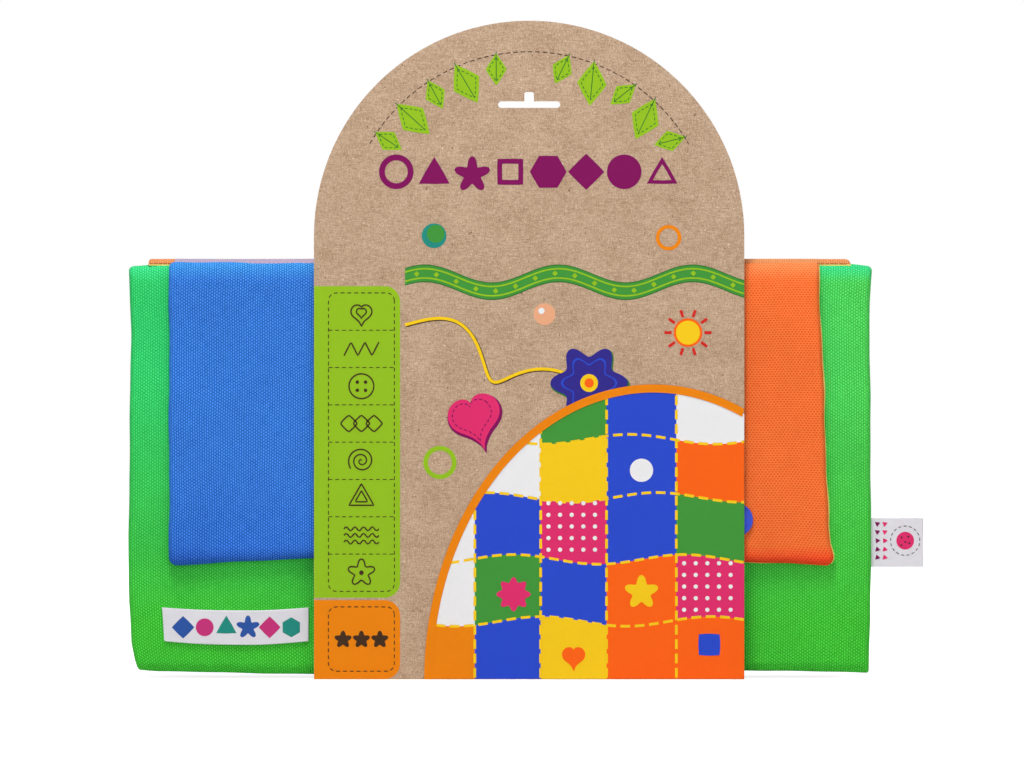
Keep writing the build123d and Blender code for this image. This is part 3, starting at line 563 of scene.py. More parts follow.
def numbers(rows, columns, start=0):
    """The vertex numbers of a grid."""
    return start + np.arange(rows * columns).reshape(rows, columns)


def quads(index, turned=False):
    """Four-cornered faces between the neighbours of a grid of vertex numbers."""
    faces = np.stack([index[:-1, :-1], index[1:, :-1], index[1:, 1:], index[:-1, 1:]], axis=-1).reshape(-1, 4)
    return faces[:, ::-1] if turned else faces


def stacked(*parts):
    """Coordinates, each an array or one number, as an array of points."""
    return np.stack(np.broadcast_arrays(*parts), axis=-1)


def grid_piece(name, points, uv, closed_u=False, closed_v=False):
    """A grid of points as an open or closed surface."""
    index = numbers(*points.shape[:2])
    if closed_u:
        index = np.vstack([index, index[:1]])
    if closed_v:
        index = np.hstack([index, index[:, :1]])
    return mesh_object(name, points.reshape(-1, 3), quads(index), uv.reshape(-1, 2))


def pillow(name, front, back, uv):
    """A front and a back grid that share their outer edge. The front faces -Y."""
    rows, columns = front.shape[:2]
    first = numbers(rows, columns)
    second = first.copy()
    second[1:-1, 1:-1] = numbers(rows - 2, columns - 2, start=rows * columns)
    points = np.vstack([front.reshape(-1, 3), back[1:-1, 1:-1].reshape(-1, 3)])
    flat = np.vstack([uv.reshape(-1, 2), uv[1:-1, 1:-1].reshape(-1, 2)])
    return mesh_object(name, points, np.vstack([quads(first), quads(second, turned=True)]), flat)


def spread(low, high, rim, count, fine=7):
    """Places from low to high: close together over each rim, even between them."""
    ease = rim * (1 - np.cos(np.linspace(0, PI / 2, fine)))
    middle = np.linspace(low + rim, high - rim, count)[1:-1]
    return np.concatenate([low + ease, middle, high - ease[::-1]])


def along_line(line):
    """The length from a line's start to each of its points."""
    return np.concatenate([[0], np.cumsum(np.linalg.norm(np.diff(line, axis=0), axis=1))])


def tidy_mesh(piece):
    """Join doubled vertices at poles and seams, and turn every face outwards."""
    made = bmesh.new()
    made.from_mesh(piece.data)
    bmesh.ops.remove_doubles(made, verts=made.verts, dist=2e-6)
    bmesh.ops.recalc_face_normals(made, faces=made.faces)
    made.to_mesh(piece.data)
    made.free()
    return piece


def join(name, pieces):
    """Several meshes as one piece, with their places kept."""
    made = bmesh.new()
    for piece in pieces:
        made.from_mesh(piece.data)
        bpy.data.objects.remove(piece)
    mesh = bpy.data.meshes.new(name)
    made.to_mesh(mesh)
    made.free()
    return add_object(name, mesh)


def dress(piece, body, slot, *nodes, material=None):
    """Finish a piece, let it ride on its body, and let it stand for CAD nodes. The slot's own finish is used
    where no other material is given."""
    piece.data.materials.append(material or FINISHES[slot])
    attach(piece, body)
    if nodes:
        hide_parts(*nodes)
    return piece


print("mesh builders ready")

# %% [markdown]
# ## Boxes
# Most pieces start from the box of the CAD node that they dress. `moved` pushes some sides of
# such a box in or out by a few tenths of a millimetre, where the cloth differs from the solid.

# %% A node's box
Box = namedtuple("Box", "left front low right back top")


def cad(node):
    """A CAD node's box, in metres."""
    low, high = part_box(node)
    return Box(*low, *high)


def moved(box, **sides):
    """A box with some of its sides moved, in millimetres along their axis."""
    return box._replace(**{side: getattr(box, side) + by * MM for side, by in sides.items()})


print("the cover's box:", np.round(cad("green_cover"), 4).tolist())

# %% [markdown]
# ## A padded pad
# Doors, flaps and panels are all the same thing: two layers of cloth with wadding between
# them. The surface runs over a rectangle. Its thickness grows from nothing at the edge as a
# quarter circle over the rim's width, then crowns a little. A row of stitches near the edge
# pulls it in, and long soft waves keep it from looking like a board.

# %% The pad's formula
STITCH_PLACES = np.array([-1.6, -1.0, -0.5, 0.0, 0.5, 1.0, 1.6]) * MM
STITCH_DEPTH, STITCH_WIDE = 0.45 * MM, 0.7 * MM
CROWN_WIDE = 9 * MM


def waves(x, z, size, seed):
    """Soft unevenness: three crossing sine waves whose lengths and phases come from the seed."""
    turn = seed * 1.7
    return size * (0.5 * np.sin(x / 0.041 + turn) * np.sin(z / 0.057 + 2 * turn)
                   + 0.3 * np.sin((x + z) / 0.023 + 3 * turn) + 0.2 * np.sin((x - 0.6 * z) / 0.013 + turn))


def ripple(x, z, size=0.22 * MM):
    """Uneven sewing along the edges: two sines of different length on each coordinate."""
    return (x + size * (np.sin(z / 0.011 + 40 * x) + 0.6 * np.sin(z / 0.0047 + 1.3)),
            z + size * (np.sin(x / 0.013 + 2.0) + 0.6 * np.sin(x / 0.0051)))


def round_corners(x, z, box, corner, corner_top):
    """Carry each corner's square onto a quarter disc, by a' = a sqrt(1 - b b / 2) both ways."""
    middle_x, middle_z = (box.left + box.right) / 2, (box.low + box.top) / 2
    corner = np.where(z > middle_z, corner_top, corner)
    over_x = np.maximum(np.abs(x - middle_x) - ((box.right - box.left) / 2 - corner), 0) / corner
    over_z = np.maximum(np.abs(z - middle_z) - ((box.top - box.low) / 2 - corner), 0) / corner
    new_x = over_x * np.sqrt(1 - over_z ** 2 / 2)
    new_z = over_z * np.sqrt(1 - over_x ** 2 / 2)
    return (x + np.sign(x - middle_x) * (new_x - over_x) * corner,
            z + np.sign(z - middle_z) * (new_z - over_z) * corner)


def quarter(distance, rim):
    """A quarter circle: sqrt(1 - (1 - d)^2), from 0 at the edge to 1 at the rim's width."""
    return np.sqrt(np.maximum(1 - (1 - np.minimum(distance / rim, 1)) ** 2, 0))


def pad_grids(box, corner=3 * MM, rim=2.0 * MM, crown=0.3 * MM, seed=1.0, stitch=None, wave=0.25 * MM,
              shape=None, step=4 * MM, rim_low=None, rim_top=None, seam=0.5, corner_top=None):
    """Front and back grids of a pad that fills a box. Its seam lies at a share of the depth.
    The UV map is (x, z), plus half the thickness at the rims, so a pattern isn't drawn out there."""
    left, front, low, right, back, top = box
    rim_low, rim_top = rim_low or rim, rim_top or rim
    x_line = spread(left, right, rim * 1.6, max(8, int((right - left) / step)))
    z_line = spread(low, top, max(rim, rim_top, rim_low) * 1.2, max(8, int((top - low) / step)), 12)
    if stitch:
        x_line = np.unique(np.concatenate([x_line, left + stitch + STITCH_PLACES,
                                           right - stitch + STITCH_PLACES]).round(7))
        z_line = np.unique(np.concatenate([z_line, low + stitch + STITCH_PLACES,
                                           top - stitch + STITCH_PLACES]).round(7))
    x, z = np.meshgrid(x_line, z_line, indexing="ij")
    from_side = np.minimum(x - left, right - x)
    from_end = np.minimum((z - low) * rim / rim_low, (top - z) * rim / rim_top)
    side, end = quarter(from_side, rim), quarter(from_end, rim)
    lift = side * end
    arch = crown * (1 - np.exp(-np.minimum(from_side, from_end) / CROWN_WIDE))
    swell = (arch + waves(x, z, wave, seed)) * lift
    if stitch:
        inside = np.minimum(from_side, np.minimum(z - low, top - z)) - stitch
        swell = swell - STITCH_DEPTH * np.exp(-(inside / STITCH_WIDE) ** 2)
    unroll = abs(back - front) / 2
    uv = stacked(x + np.sign(x - (left + right) / 2) * (1 - side) * unroll,
                 z + np.sign(z - (low + top) / 2) * (1 - end) * unroll)
    x, z = round_corners(x, z, box, corner, corner_top or corner)
    if shape:
        x, z = shape(x, z)
    edge = front + (back - front) * seam
    return stacked(x, edge + (front - edge) * lift - swell, z), stacked(x, edge + (back - edge) * lift, z), uv


def pad(name, box, facing=-1, **choices):
    """A pad in a box. Its crowned side faces -Y, or +Y where facing is 1."""
    if facing < 0:
        return pillow(name, *pad_grids(box, **choices))
    crowned, plain, uv = pad_grids(box._replace(front=-box.back, back=-box.front), **choices)
    mirror = np.array([1, -1, 1])
    return pillow(name, plain * mirror, crowned * mirror, uv)


print("pads ready")

# %% [markdown]
# ## Bands
# Webbing, tapes and loops are all one flat section carried along a line. The section is as
# wide as the tape, and its two long sides close in a half round at each selvedge. The line
# may bend as it likes in the plane square to the width, so the same function makes a
# straight strap, an arch, a folded tag and the strip over the fold.

# %% Carry a flat section along a line
ACROSS, UPWARD = (1, 0, 0), (0, 0, 1)
BAND_WAVE_SEED = 2.0


def level_span(box):
    """A band's side and ends where it runs from a box's left to its right."""
    return ACROSS, box.left, box.right


def upright_span(box):
    """A band's side and ends where it runs from a box's low to its top."""
    return UPWARD, box.low, box.top


def band(name, line, side, low, high, thick, count=10, corner=(), wave=0.0):
    """Points are line + side * w + normal * t, with t = +-thick/2 sqrt(1 - (1 - d)^2) near each selvedge.
    A pair of corners gives the width at each end over which the band drops as a quarter circle."""
    side = np.array(side, dtype=float)
    along = np.gradient(line, axis=0)
    along /= np.linalg.norm(along, axis=1, keepdims=True)
    normal = np.cross(along, side)
    width = spread(low, high, max(thick * 0.6, *corner, 0.0), count)
    half = thick / 2 * quarter(np.minimum(width - low, high - width), thick * 0.5)
    lift = waves(width, 0, wave, BAND_WAVE_SEED)
    for end, corner_wide in zip((low, high), corner):
        gone = 1 - np.minimum(np.abs(width - end) / corner_wide, 1)
        lift = lift - corner_wide * (1 - np.sqrt(1 - gone ** 2))
    across = np.concatenate([width, width[-2:0:-1]])
    out = np.concatenate([half, -half[-2:0:-1]])
    rise = np.concatenate([lift, lift[-2:0:-1]])
    points = (line[:, None] + side * across[None, :, None] + normal[:, None] * out[None, :, None]
              + np.array(UPWARD) * rise[None, :, None])
    uv = stacked(along_line(line)[:, None], across[None, :])
    index = numbers(*points.shape[:2])
    faces = quads(np.hstack([index, index[:, :1]])).tolist()
    number = len(width)
    for row in (0, -1):
        near, far = index[row, :number], np.roll(index[row, ::-1], 1)[:number]
        faces += np.stack([near[1:-2], near[2:-1], far[2:-1], far[1:-2]], axis=-1).tolist()
        faces += np.array([[near[0], near[1], far[1]], [near[-2], near[-1], far[-2]]]).tolist()
    return tidy_mesh(mesh_object(name, points.reshape(-1, 3), faces, uv.reshape(-1, 2)))


print("bands ready")

# %% [markdown]
# ## Cords
# All cords are one limp braided cord, 2.4 millimetres thick. Each follows a smooth NURBS line
# through the frame, and a round tube is carried along that line. The lace winds down between
# the green doors, a doubled cord carries the hook, and two cords carry a bead each. The fifth
# runs from the pouch's tab to its neck.

# %% The routes, in metres
CORD = 2.4 * MM
LACE_Y = 0.0218
routes = {
    "lace": [(x, LACE_Y, z) for x, z in (
        (0.11625, 0.136), (0.12525, 0.125), (0.12525, 0.114), (0.10725, 0.103), (0.10725, 0.092),
        (0.12525, 0.081), (0.12525, 0.070), (0.10725, 0.059), (0.10725, 0.048), (0.11625, 0.037))],
    "hook_cord": [
        (0.11365, 0.0190, 0.190), (0.11465, 0.0252, 0.148), (0.11615, 0.0252, 0.078),
        (0.11625, 0.0252, 0.062), (0.11625, 0.0316, 0.062), (0.11635, 0.0316, 0.078),
        (0.11785, 0.0316, 0.148), (0.11885, 0.0190, 0.190)],
    "bead_cord_left": [
        (0.056, 0.0168, 0.1765), (0.056, 0.02629, 0.1705), (0.056, 0.0307, 0.1515), (0.056, 0.0307, 0.130),
        (0.056, 0.0307, 0.0562)],
    "bead_cord_right": [
        (-0.017, 0.0168, 0.1845), (-0.017, 0.02454, 0.1785), (-0.017, 0.0282, 0.1595),
        (-0.017, 0.0282, 0.138), (-0.017, 0.0282, 0.0972)],
    "pouch_cord": [
        (0.0085, 0.0031, 0.014), (0.0110, 0.0000, 0.026), (0.0065, -0.0028, 0.039), (0.0090, -0.0035, 0.054),
        (0.0085, -0.0005, 0.0658)],
}
print(len(routes), "routes")

# %% A braided cord along a smooth line
TUBE_SIDES, DOME_ROWS, DOME_HIGH = 14, 3, 0.35


def smooth_line(route):
    """Points read from the route's own NURBS spline."""
    curve = bpy.data.curves.new("route", "CURVE")
    curve.dimensions = "3D"
    spline = curve.splines.new("NURBS")
    spline.points.add(len(route) - 1)
    spline.points.foreach_set("co", np.hstack([np.array(route), np.ones((len(route), 1))]).ravel())
    spline.order_u = 3
    spline.use_endpoint_u = True
    spline.resolution_u = 16
    holder = add_object("route", curve)
    mesh = bpy.data.meshes.new_from_object(holder.evaluated_get(bpy.context.evaluated_depsgraph_get()))
    line = np.empty(len(mesh.vertices) * 3)
    mesh.vertices.foreach_get("co", line)
    bpy.data.objects.remove(holder)
    bpy.data.curves.remove(curve)
    bpy.data.meshes.remove(mesh)
    return line.reshape(-1, 3)


def frames_along(line):
    """Directions along a line and two across it, the last of them as near to -X as it can be."""
    along = np.gradient(line, axis=0)
    along /= np.linalg.norm(along, axis=1, keepdims=True)
    across = np.cross(along, np.array(ACROSS, float))
    across /= np.linalg.norm(across, axis=1, keepdims=True)
    return along, across, np.cross(along, across)


def tube(name, line, radius):
    """A round tube along a line: a circle in the two directions across it, with domed ends."""
    along, across, other = frames_along(line)
    angle = np.linspace(0, 2 * PI, TUBE_SIDES, endpoint=False)
    dome = np.linspace(0, PI / 2, DOME_ROWS + 1)[1:]
    first = line[0] - along[0] * radius * DOME_HIGH * np.sin(dome)[::-1, None]
    last = line[-1] + along[-1] * radius * DOME_HIGH * np.sin(dome)[:, None]
    centre = np.vstack([first, line, last])
    width = np.concatenate([radius * np.cos(dome)[::-1] + 1e-6, np.full(len(line), radius),
                            radius * np.cos(dome) + 1e-6])
    ends = (DOME_ROWS, DOME_ROWS)
    across = np.pad(across, (ends, (0, 0)), mode="edge")
    other = np.pad(other, (ends, (0, 0)), mode="edge")
    reach = np.pad(along_line(line), ends, mode="edge")
    rim = np.cos(angle)[None, :, None] * across[:, None] + np.sin(angle)[None, :, None] * other[:, None]
    points = centre[:, None] + rim * width[:, None, None]
    uv = stacked(angle / (2 * PI), reach[:, None])
    return tidy_mesh(grid_piece(name, points, uv, closed_v=True))


def laid_cord(name, node, body):
    """One cord: its tube, its body and what it stands for."""
    route = routes[node]
    line = smooth_line(route)
    piece = dress(tube(name, line, CORD / 2), body, "yellow_cord", node)


# %% [markdown]
# A knot in a soft cord is a small fat roll with the cord's turns showing on it. Two rings of
# cord, one slanted across the other, read as a knot from every side, and a third small one
# fills the middle. A ring is a tube whose line closes on itself.

# %% Knots
KNOT = 2.8 * MM
LACE_KNOT = KNOT * 0.8
RING_TURNS, RING_SIDES = 40, 12
KNOT_RINGS = (("a", 0.42, 0.5, 0.5, 0.2), ("b", 0.42, 0.48, -0.6, -0.4), ("c", 0.2, 0.55, 1.4, 0.3))


def ring(name, centre, radius, thick, tilt, lean):
    """A closed tube round a circle that is tilted about the X axis and leant about the Y axis."""
    turn = np.linspace(0, 2 * PI, RING_TURNS, endpoint=False)
    angle = np.linspace(0, 2 * PI, RING_SIDES, endpoint=False)
    about_x = np.array([[1, 0, 0], [0, np.cos(tilt), -np.sin(tilt)], [0, np.sin(tilt), np.cos(tilt)]])
    about_y = np.array([[np.cos(lean), 0, np.sin(lean)], [0, 1, 0], [-np.sin(lean), 0, np.cos(lean)]])
    flat = stacked(np.cos(turn), np.sin(turn), 0.0)
    local = (flat[:, None] * (radius + thick * np.cos(angle)[None, :, None])
             + np.array(UPWARD) * (thick * np.sin(angle)[None, :, None]))
    points = local @ (about_y @ about_x).T + np.array(centre)
    uv = stacked(angle[None, :] / (2 * PI), turn[:, None] * radius)
    return tidy_mesh(grid_piece(name, points, uv, closed_u=True, closed_v=True))


def knot(name, centre, size):
    """Two slanted rings and a core."""
    return join(name, [ring(f"{name}_{part}", centre, size * radius, size * thick, tilt, lean)
                       for part, radius, thick, tilt, lean in KNOT_RINGS])


knots = {name: dress(knot(name, centre, size), "blue_panel", "yellow_cord", node)
         for name, centre, size, node in (
             ("lace_knot_top", (0.11625, 0.0226, 0.1365), LACE_KNOT, "lace_knots"),
             ("lace_knot_low", (0.11625, 0.0226, 0.0365), LACE_KNOT, "lace_knots"),
             ("bead_knot_left", routes["bead_cord_left"][-1], KNOT, "bead_knots"),
             ("bead_knot_right", routes["bead_cord_right"][-1], KNOT, "bead_knots"))}
print(len(knots), "knots tied")

# %% Lay the cords
laid_cord("lacing_cord", "lace", "blue_panel")
laid_cord("hook_cord_braid", "hook_cord", "blue_panel")
laid_cord("left_bead_cord", "bead_cord_left", "blue_panel")
laid_cord("right_bead_cord", "bead_cord_right", "blue_panel")
laid_cord("pouch_cord_braid", "pouch_cord", "orange_panel")

# %% [markdown]
# ## The green cover
# The front of the folded board is one padded green panel. Its left edge runs nearly straight
# and draws in at the foot, its right edge bows out a little, its bottom edge sags left of the
# middle, and its top edge drops at both ends. Its face curves back at the top and under at the
# bottom. The lists below give how far each edge lies from its straight line, in millimetres,
# at a few places along it.

# %% Green cover and its lining
COVER_LEFT_EDGE = [(3.9, 4.4), (6, 3.6), (8.6, 2.8), (18.4, 0.8), (39, -0.5), (61, -0.8), (100, -0.4),
                   (144, 0.0), (178, 0.5), (194, 0.1), (214.4, -0.6)]
COVER_RIGHT_EDGE = [(3.9, 0.2), (8.6, 0.4), (30, 1.2), (51, 1.6), (59, 1.7), (100, 1.5), (144, 1.3),
                    (158, 1.1), (179.5, 0.9), (195, 1.1), (206, 1.5), (214.4, 2.1)]
COVER_LOW_EDGE = [(-205, 0.5), (-194, -0.5), (-150, -1.3), (-109, -1.9), (0, -1.2), (113, 0.1), (142, -0.4),
                  (178, -1.3)]
COVER_TOP_EDGE = [(-205, -0.7), (-196, -0.1), (-188, 0.8), (-180, 0.9), (150, 0.9), (163, 0.7), (172, -0.2),
                  (181, -1.1)]
LOW_REACH, TOP_REACH = 40 * MM, 30 * MM
COVER_RIPPLE = 0.12 * MM
cover_box = cad("green_cover")


def along_edge(place, edge):
    """The shift at a place along an edge, read from the edge's list."""
    return np.interp(place / MM, *np.array(edge).T) * MM


def cover_shape(x, z):
    """The cover's outline: four measured edges shift it, each faded out across the panel."""
    box = cover_box
    near_left = np.clip((box.right - x) / (box.right - box.left), 0, 1) ** 8
    near_right = np.clip((x - box.left) / (box.right - box.left), 0, 1) ** 8
    near_low = np.clip(1 - (z - box.low) / LOW_REACH, 0, 1) ** 2
    near_top = np.clip(1 - (box.top - z) / TOP_REACH, 0, 1) ** 2
    new_x = x + near_left * along_edge(z, COVER_LEFT_EDGE) + near_right * along_edge(z, COVER_RIGHT_EDGE)
    new_z = z + near_low * along_edge(x, COVER_LOW_EDGE) + near_top * along_edge(x, COVER_TOP_EDGE)
    return ripple(new_x, new_z, COVER_RIPPLE)


def padded(name, box, body, slot, node, fill, material=None, **choices):
    """A pad that is dressed."""
    piece = dress(pad(name, box, **choices), body, slot, node, material=material)
    return piece


padded("green_cover_cloth", moved(cover_box, front=0.2), "cover", "green_cloth", "green_cover",
       fill=0.8, corner=1.3 * MM, corner_top=2.6 * MM, rim=2.4 * MM, rim_top=10.0 * MM, rim_low=5.0 * MM,
       crown=0.25 * MM, seed=2.0, wave=0.3 * MM, shape=cover_shape, step=2.6 * MM, seam=1.0)
inside_box = moved(cover_box, left=0.6, low=0.6, right=-0.6, top=-0.6)
inside_box = inside_box._replace(front=cover_box.back, back=moved(cad("cover_lining"), back=-0.2).back)
padded("cover_lining_cloth", inside_box, "cover", "lining_cloth", "cover_lining", fill=0.8,
       facing=1, corner=1.8 * MM, rim=2.4 * MM, seed=5.0, crown=0.2 * MM, wave=0.15 * MM, stitch=5 * MM,
       shape=cover_shape, step=3.4 * MM, seam=1.0)
print("cover made")

# %% [markdown]
# ## The two flaps and their tab
# The blue and the orange flap hang from the top fold and lie on the cover. Their free corners
# are round, their lower edges slant, and the card hides the gap between them. The blue tab
# that closes them shows only its round end beside the card.

# %% Flaps
BLUE_LOW_EDGE = [(-184.3, -1.1), (-175, -1.1), (-140, -0.1), (-109, -0.2), (-20, -0.2)]
BLUE_KNEE, BLUE_CLIMB, BLUE_END_CLIMB = 75.3 * MM, 3.4 * MM, 4.9 * MM
ORANGE_LOW_EDGE = [(5, 2.0), (80, 1.2), (113, 0.4), (135, -0.5), (155, -1.8), (158.8, -1.6)]
ORANGE_LEAN = [(0, -1.4), (0.035, -0.9), (0.07, 0.7), (0.13, 1.8), (0.285, 2.7), (0.44, 3.4), (0.6, 4.4),
               (0.75, 5.4), (1, 6.9)]
FLAP_LOOK = dict(corner=4.5 * MM, rim=2.2 * MM, rim_top=12 * MM, rim_low=3.6 * MM, crown=0.45 * MM,
                 wave=0.4 * MM, step=2.6 * MM, seam=0.85)
ORANGE_TOP_CORNER = 1.6 * MM
blue_box, orange_box = cad("blue_flap"), cad("orange_flap")


def blue_shape(x, z):
    """The lower edge climbs by 3.4 mm over its first 75 mm, then slowly to 4.9 mm, plus its shifts."""
    left, _, low, right, _, top = blue_box
    climb = np.interp(x, [left, left + BLUE_KNEE, right], [0, BLUE_CLIMB, BLUE_END_CLIMB])
    climb = climb + along_edge(x, BLUE_LOW_EDGE)
    return ripple(x, z + climb * np.clip(1 - (z - low) / (top - low), 0, 1) ** 2)


def orange_shape(x, z):
    """The right edge leans in by 8.3 mm from its foot, which flares out, to the top."""
    left, _, low, right, _, top = orange_box
    high = np.clip((z - low) / (top - low), 0, 1)
    share = np.clip((x - left) / (right - left), 0, 1)
    lean = np.interp(high, *np.array(ORANGE_LEAN).T) * MM
    return ripple(x - lean * share ** 2, z + along_edge(x, ORANGE_LOW_EDGE) * (1 - high) ** 2)


padded("blue_flap_cloth", blue_box, "cover", "blue_cloth", "blue_flap", fill=0.6,
       material=blue_flap_cloth, seed=3.0, shape=blue_shape, corner_top=3.0 * MM, **FLAP_LOOK)
padded("orange_flap_cloth", orange_box, "cover", "orange_cloth", "orange_flap", fill=0.6,
       material=orange_flap_cloth, seed=4.0, shape=orange_shape, corner_top=ORANGE_TOP_CORNER, **FLAP_LOOK)
print("flaps made")

# %% [markdown]
# The orange flap's pale lining was cut a little too large, and peeks out along its free edges
# as a thin yellow line. Over the top edge of each flap runs a binding: pale lilac tape on the
# blue one, pale orange cloth on the orange one. Both are paled as a painted highlight. The tab
# is sewn of a finer weave, so its pattern is drawn smaller.

# %% Lining edge, bindings and tab
peek_box = moved(orange_box, left=4, low=0.05, right=0.45, back=-0.25, top=-0.4)
peek_box = peek_box._replace(front=moved(orange_box, back=-0.9).back)
peek = pad("orange_flap_lining", peek_box, corner=4.2 * MM, corner_top=ORANGE_TOP_CORNER, rim=0.3 * MM,
           crown=0.0, wave=0.0, step=2.6 * MM, shape=lambda x, z: ripple(*orange_shape(x, z), 0.16 * MM))
dress(peek, "cover", "yellow_webbing", material=pale_cotton)

BINDING_FRONT, BINDING_DEEP = -17.4 * MM, 6.4 * MM
BINDING_DOWN, BINDING_RISE, BINDING_THICK = 0.7 * MM, 2.3 * MM, 0.9 * MM
SEWN_WAVE = 0.15 * MM
share = np.linspace(0, 1, 14)
# Both bindings are pale as a painted highlight along the flaps' tops.
for name, box, finish, slot in (
        ("blue_flap_binding", moved(blue_box, left=2.8), lilac_painted_highlight_tape, "white_tape"),
        ("orange_flap_binding", moved(orange_box, left=0.4, right=-6.7), painted_highlight_orange_cloth, "orange_cloth")):
    line = stacked(0.0, BINDING_FRONT + BINDING_DEEP * share,
                   box.top - BINDING_DOWN + BINDING_RISE * np.sin(share * PI / 2))
    binding = band(name, line, *level_span(box), BINDING_THICK, count=60, wave=SEWN_WAVE)
    dress(binding, "cover", slot, material=finish)

TAB_FINER = 2.4
closure = padded("closure_tab_cloth", moved(cad("closure_tab"), low=-0.55, right=0.15, back=-0.75, top=-2.95),
                 "cover", "blue_cloth", "closure_tab", fill=0.2, material=tab_cloth, corner=8.3 * MM,
                 rim=0.9 * MM, crown=0.0, seed=6.0, wave=0.05 * MM, stitch=3 * MM, step=2 * MM)
for corner in closure.data.uv_layers.active.data:
    corner.uv = corner.uv * TAB_FINER
print("edges and tab made")

# %% [markdown]
# ## The top fold
# One strip of orange cloth bridges the fold from the cover to the orange panel. It is a flat
# band that curves down at its front and back edges. The pale edge of its seam shows as a
# thin line under its front.

# %% Top fold cloth
FOLD_Y = 8.0 * MM
ROOF_FRONT, ROOF_BACK, ROOF_THICK = -12.5 * MM, FOLD_Y + 1.0 * MM, 1.3 * MM
ROOF_DOWN, ROOF_FRONT_DROP, ROOF_BACK_DROP = 0.7 * MM, 2.3 * MM, 2.6 * MM
SEAM_Y, SEAM_DOWN, SEAM_HALF, SEAM_THICK = -12.9 * MM, 0.4 * MM, 0.3, 0.5 * MM
box = cad("top_fold")
share = np.linspace(0, 1, 40)
roof_z = (box.top - ROOF_DOWN - ROOF_FRONT_DROP * np.clip(1 - share / 0.2, 0, 1) ** 2
          - ROOF_BACK_DROP * share ** 5)
roof = band("top_fold_cloth", stacked(0.0, ROOF_FRONT + share * (ROOF_BACK - ROOF_FRONT), roof_z),
            *level_span(moved(box, left=-2.8, right=0.5)), ROOF_THICK, count=130, corner=(1.4 * MM, 3.0 * MM),
            wave=SEWN_WAVE)
# The strip's pale orange is a painted highlight along the fold.
roof.data.materials.append(painted_highlight_orange_cloth)
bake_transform(roof)
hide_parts("top_fold")
seam_z = roof_z[0] - SEAM_DOWN + np.linspace(-SEAM_HALF, SEAM_HALF, 5) * MM
seam_edge = band("fold_seam_edge", stacked(0.0, SEAM_Y, seam_z),
                 *level_span(moved(box, left=-2.4, right=0.3)), SEAM_THICK, count=60, wave=SEWN_WAVE)
dress(seam_edge, "cover", "yellow_webbing", material=pale_cotton)
print("top fold made")

# %% [markdown]
# ## The two folding panels
# Both are two cloths over a stiff board. Behind the cover hangs the orange panel, and behind
# it the blue one, with its play side out. A row of stitches runs round each, five millimetres
# in from the edge, and holds the board in its pocket.

# %% Orange and blue panels
PANEL_LOOK = dict(corner=4 * MM, rim=1.8 * MM, crown=0.0, wave=0.12 * MM, stitch=5 * MM, step=3.6 * MM,
                  seam=1.0)
for seed, (name, node, body, slot, facing) in enumerate((
        ("orange_panel_cloth", "orange_panel_face", "orange_panel", "orange_cloth", -1),
        ("orange_panel_lining", "orange_panel_back", "orange_panel", "lining_cloth", 1),
        ("blue_panel_lining", "blue_panel_back", "blue_panel", "lining_cloth", -1),
        ("blue_panel_cloth", "blue_panel_face", "blue_panel", "blue_cloth", 1)), start=7):
    padded(name, cad(node), body, slot, node, fill=0.7, facing=facing, seed=seed, **PANEL_LOOK)
print("panels made")

# %% [markdown]
# ## Doors
# Each pair of doors is two small pads over a dotted lining, and the small flap is one more.
# The seam lies towards their back, so they stand up from the panel, and a row of stitches
# runs round each.

# %% Doors and linings
DOOR_LOOK = dict(corner=3 * MM, rim=1.7 * MM, wave=0.2 * MM, stitch=4.5 * MM, step=2.4 * MM, seam=0.8)
LINING_LOOK = dict(corner=3 * MM, rim=0.5 * MM, crown=0.0, wave=0.0, step=5 * MM)
for seed, (node, body, slot, facing, crown) in enumerate((
        ("green_door_inner", "blue_panel", "green_cloth", 1, 0.2 * MM),
        ("green_door_outer", "blue_panel", "green_cloth", 1, 0.2 * MM),
        ("orange_door_inner", "blue_panel", "orange_cloth", 1, 0.0),
        ("orange_door_outer", "blue_panel", "orange_cloth", 1, 0.0),
        ("blue_door_inner", "orange_panel", "blue_cloth", -1, 0.0),
        ("blue_door_outer", "orange_panel", "blue_cloth", -1, 0.0),
        ("peek_flap", "peek_flap", "green_cloth", 1, 0.0)), start=11):
    padded(f"{node}_pad", cad(node), body, slot, node, fill=0.6, facing=facing, seed=seed, crown=crown,
           **DOOR_LOOK)
for colour, body, facing in (("green", "blue_panel", 1), ("orange", "blue_panel", 1),
                             ("blue", "orange_panel", -1)):
    node = f"{colour}_door_lining"
    dress(pad(f"{colour}_door_cotton", cad(node), facing=facing, **LINING_LOOK), body, "lining_cloth", node)
print("doors made")

# %% [markdown]
# ## Webbing on the panels
# The straps lie flat, the belt has its ends folded under, and the loops are short lengths
# whose two ends are sewn down. Each is a band along its own line.

# %% Straps, belt and tabs
BELT_THICK, BELT_FOOT = 1.1 * MM, 10 * MM


def folded_line(left, right, foot_y, run_y, foot):
    """Along the foot, round the fold, along the run, round the other fold and back on its foot."""
    turn = np.linspace(-PI / 2, PI / 2, 9)
    radius, middle = (run_y - foot_y) / 2, (run_y + foot_y) / 2
    x = np.concatenate([np.linspace(left + foot, left + 1.5 * MM, 4), left + radius - radius * np.cos(turn),
                        np.linspace(left + 2 * MM, right - 2 * MM, 40),
                        right - radius + radius * np.cos(turn[::-1]),
                        np.linspace(right - 1.5 * MM, right - foot, 4)])
    y = np.concatenate([np.full(4, foot_y), middle + radius * np.sin(turn), np.full(40, run_y),
                        middle + radius * np.sin(turn[::-1]), np.full(4, foot_y)])
    return stacked(x, y, 0.0)


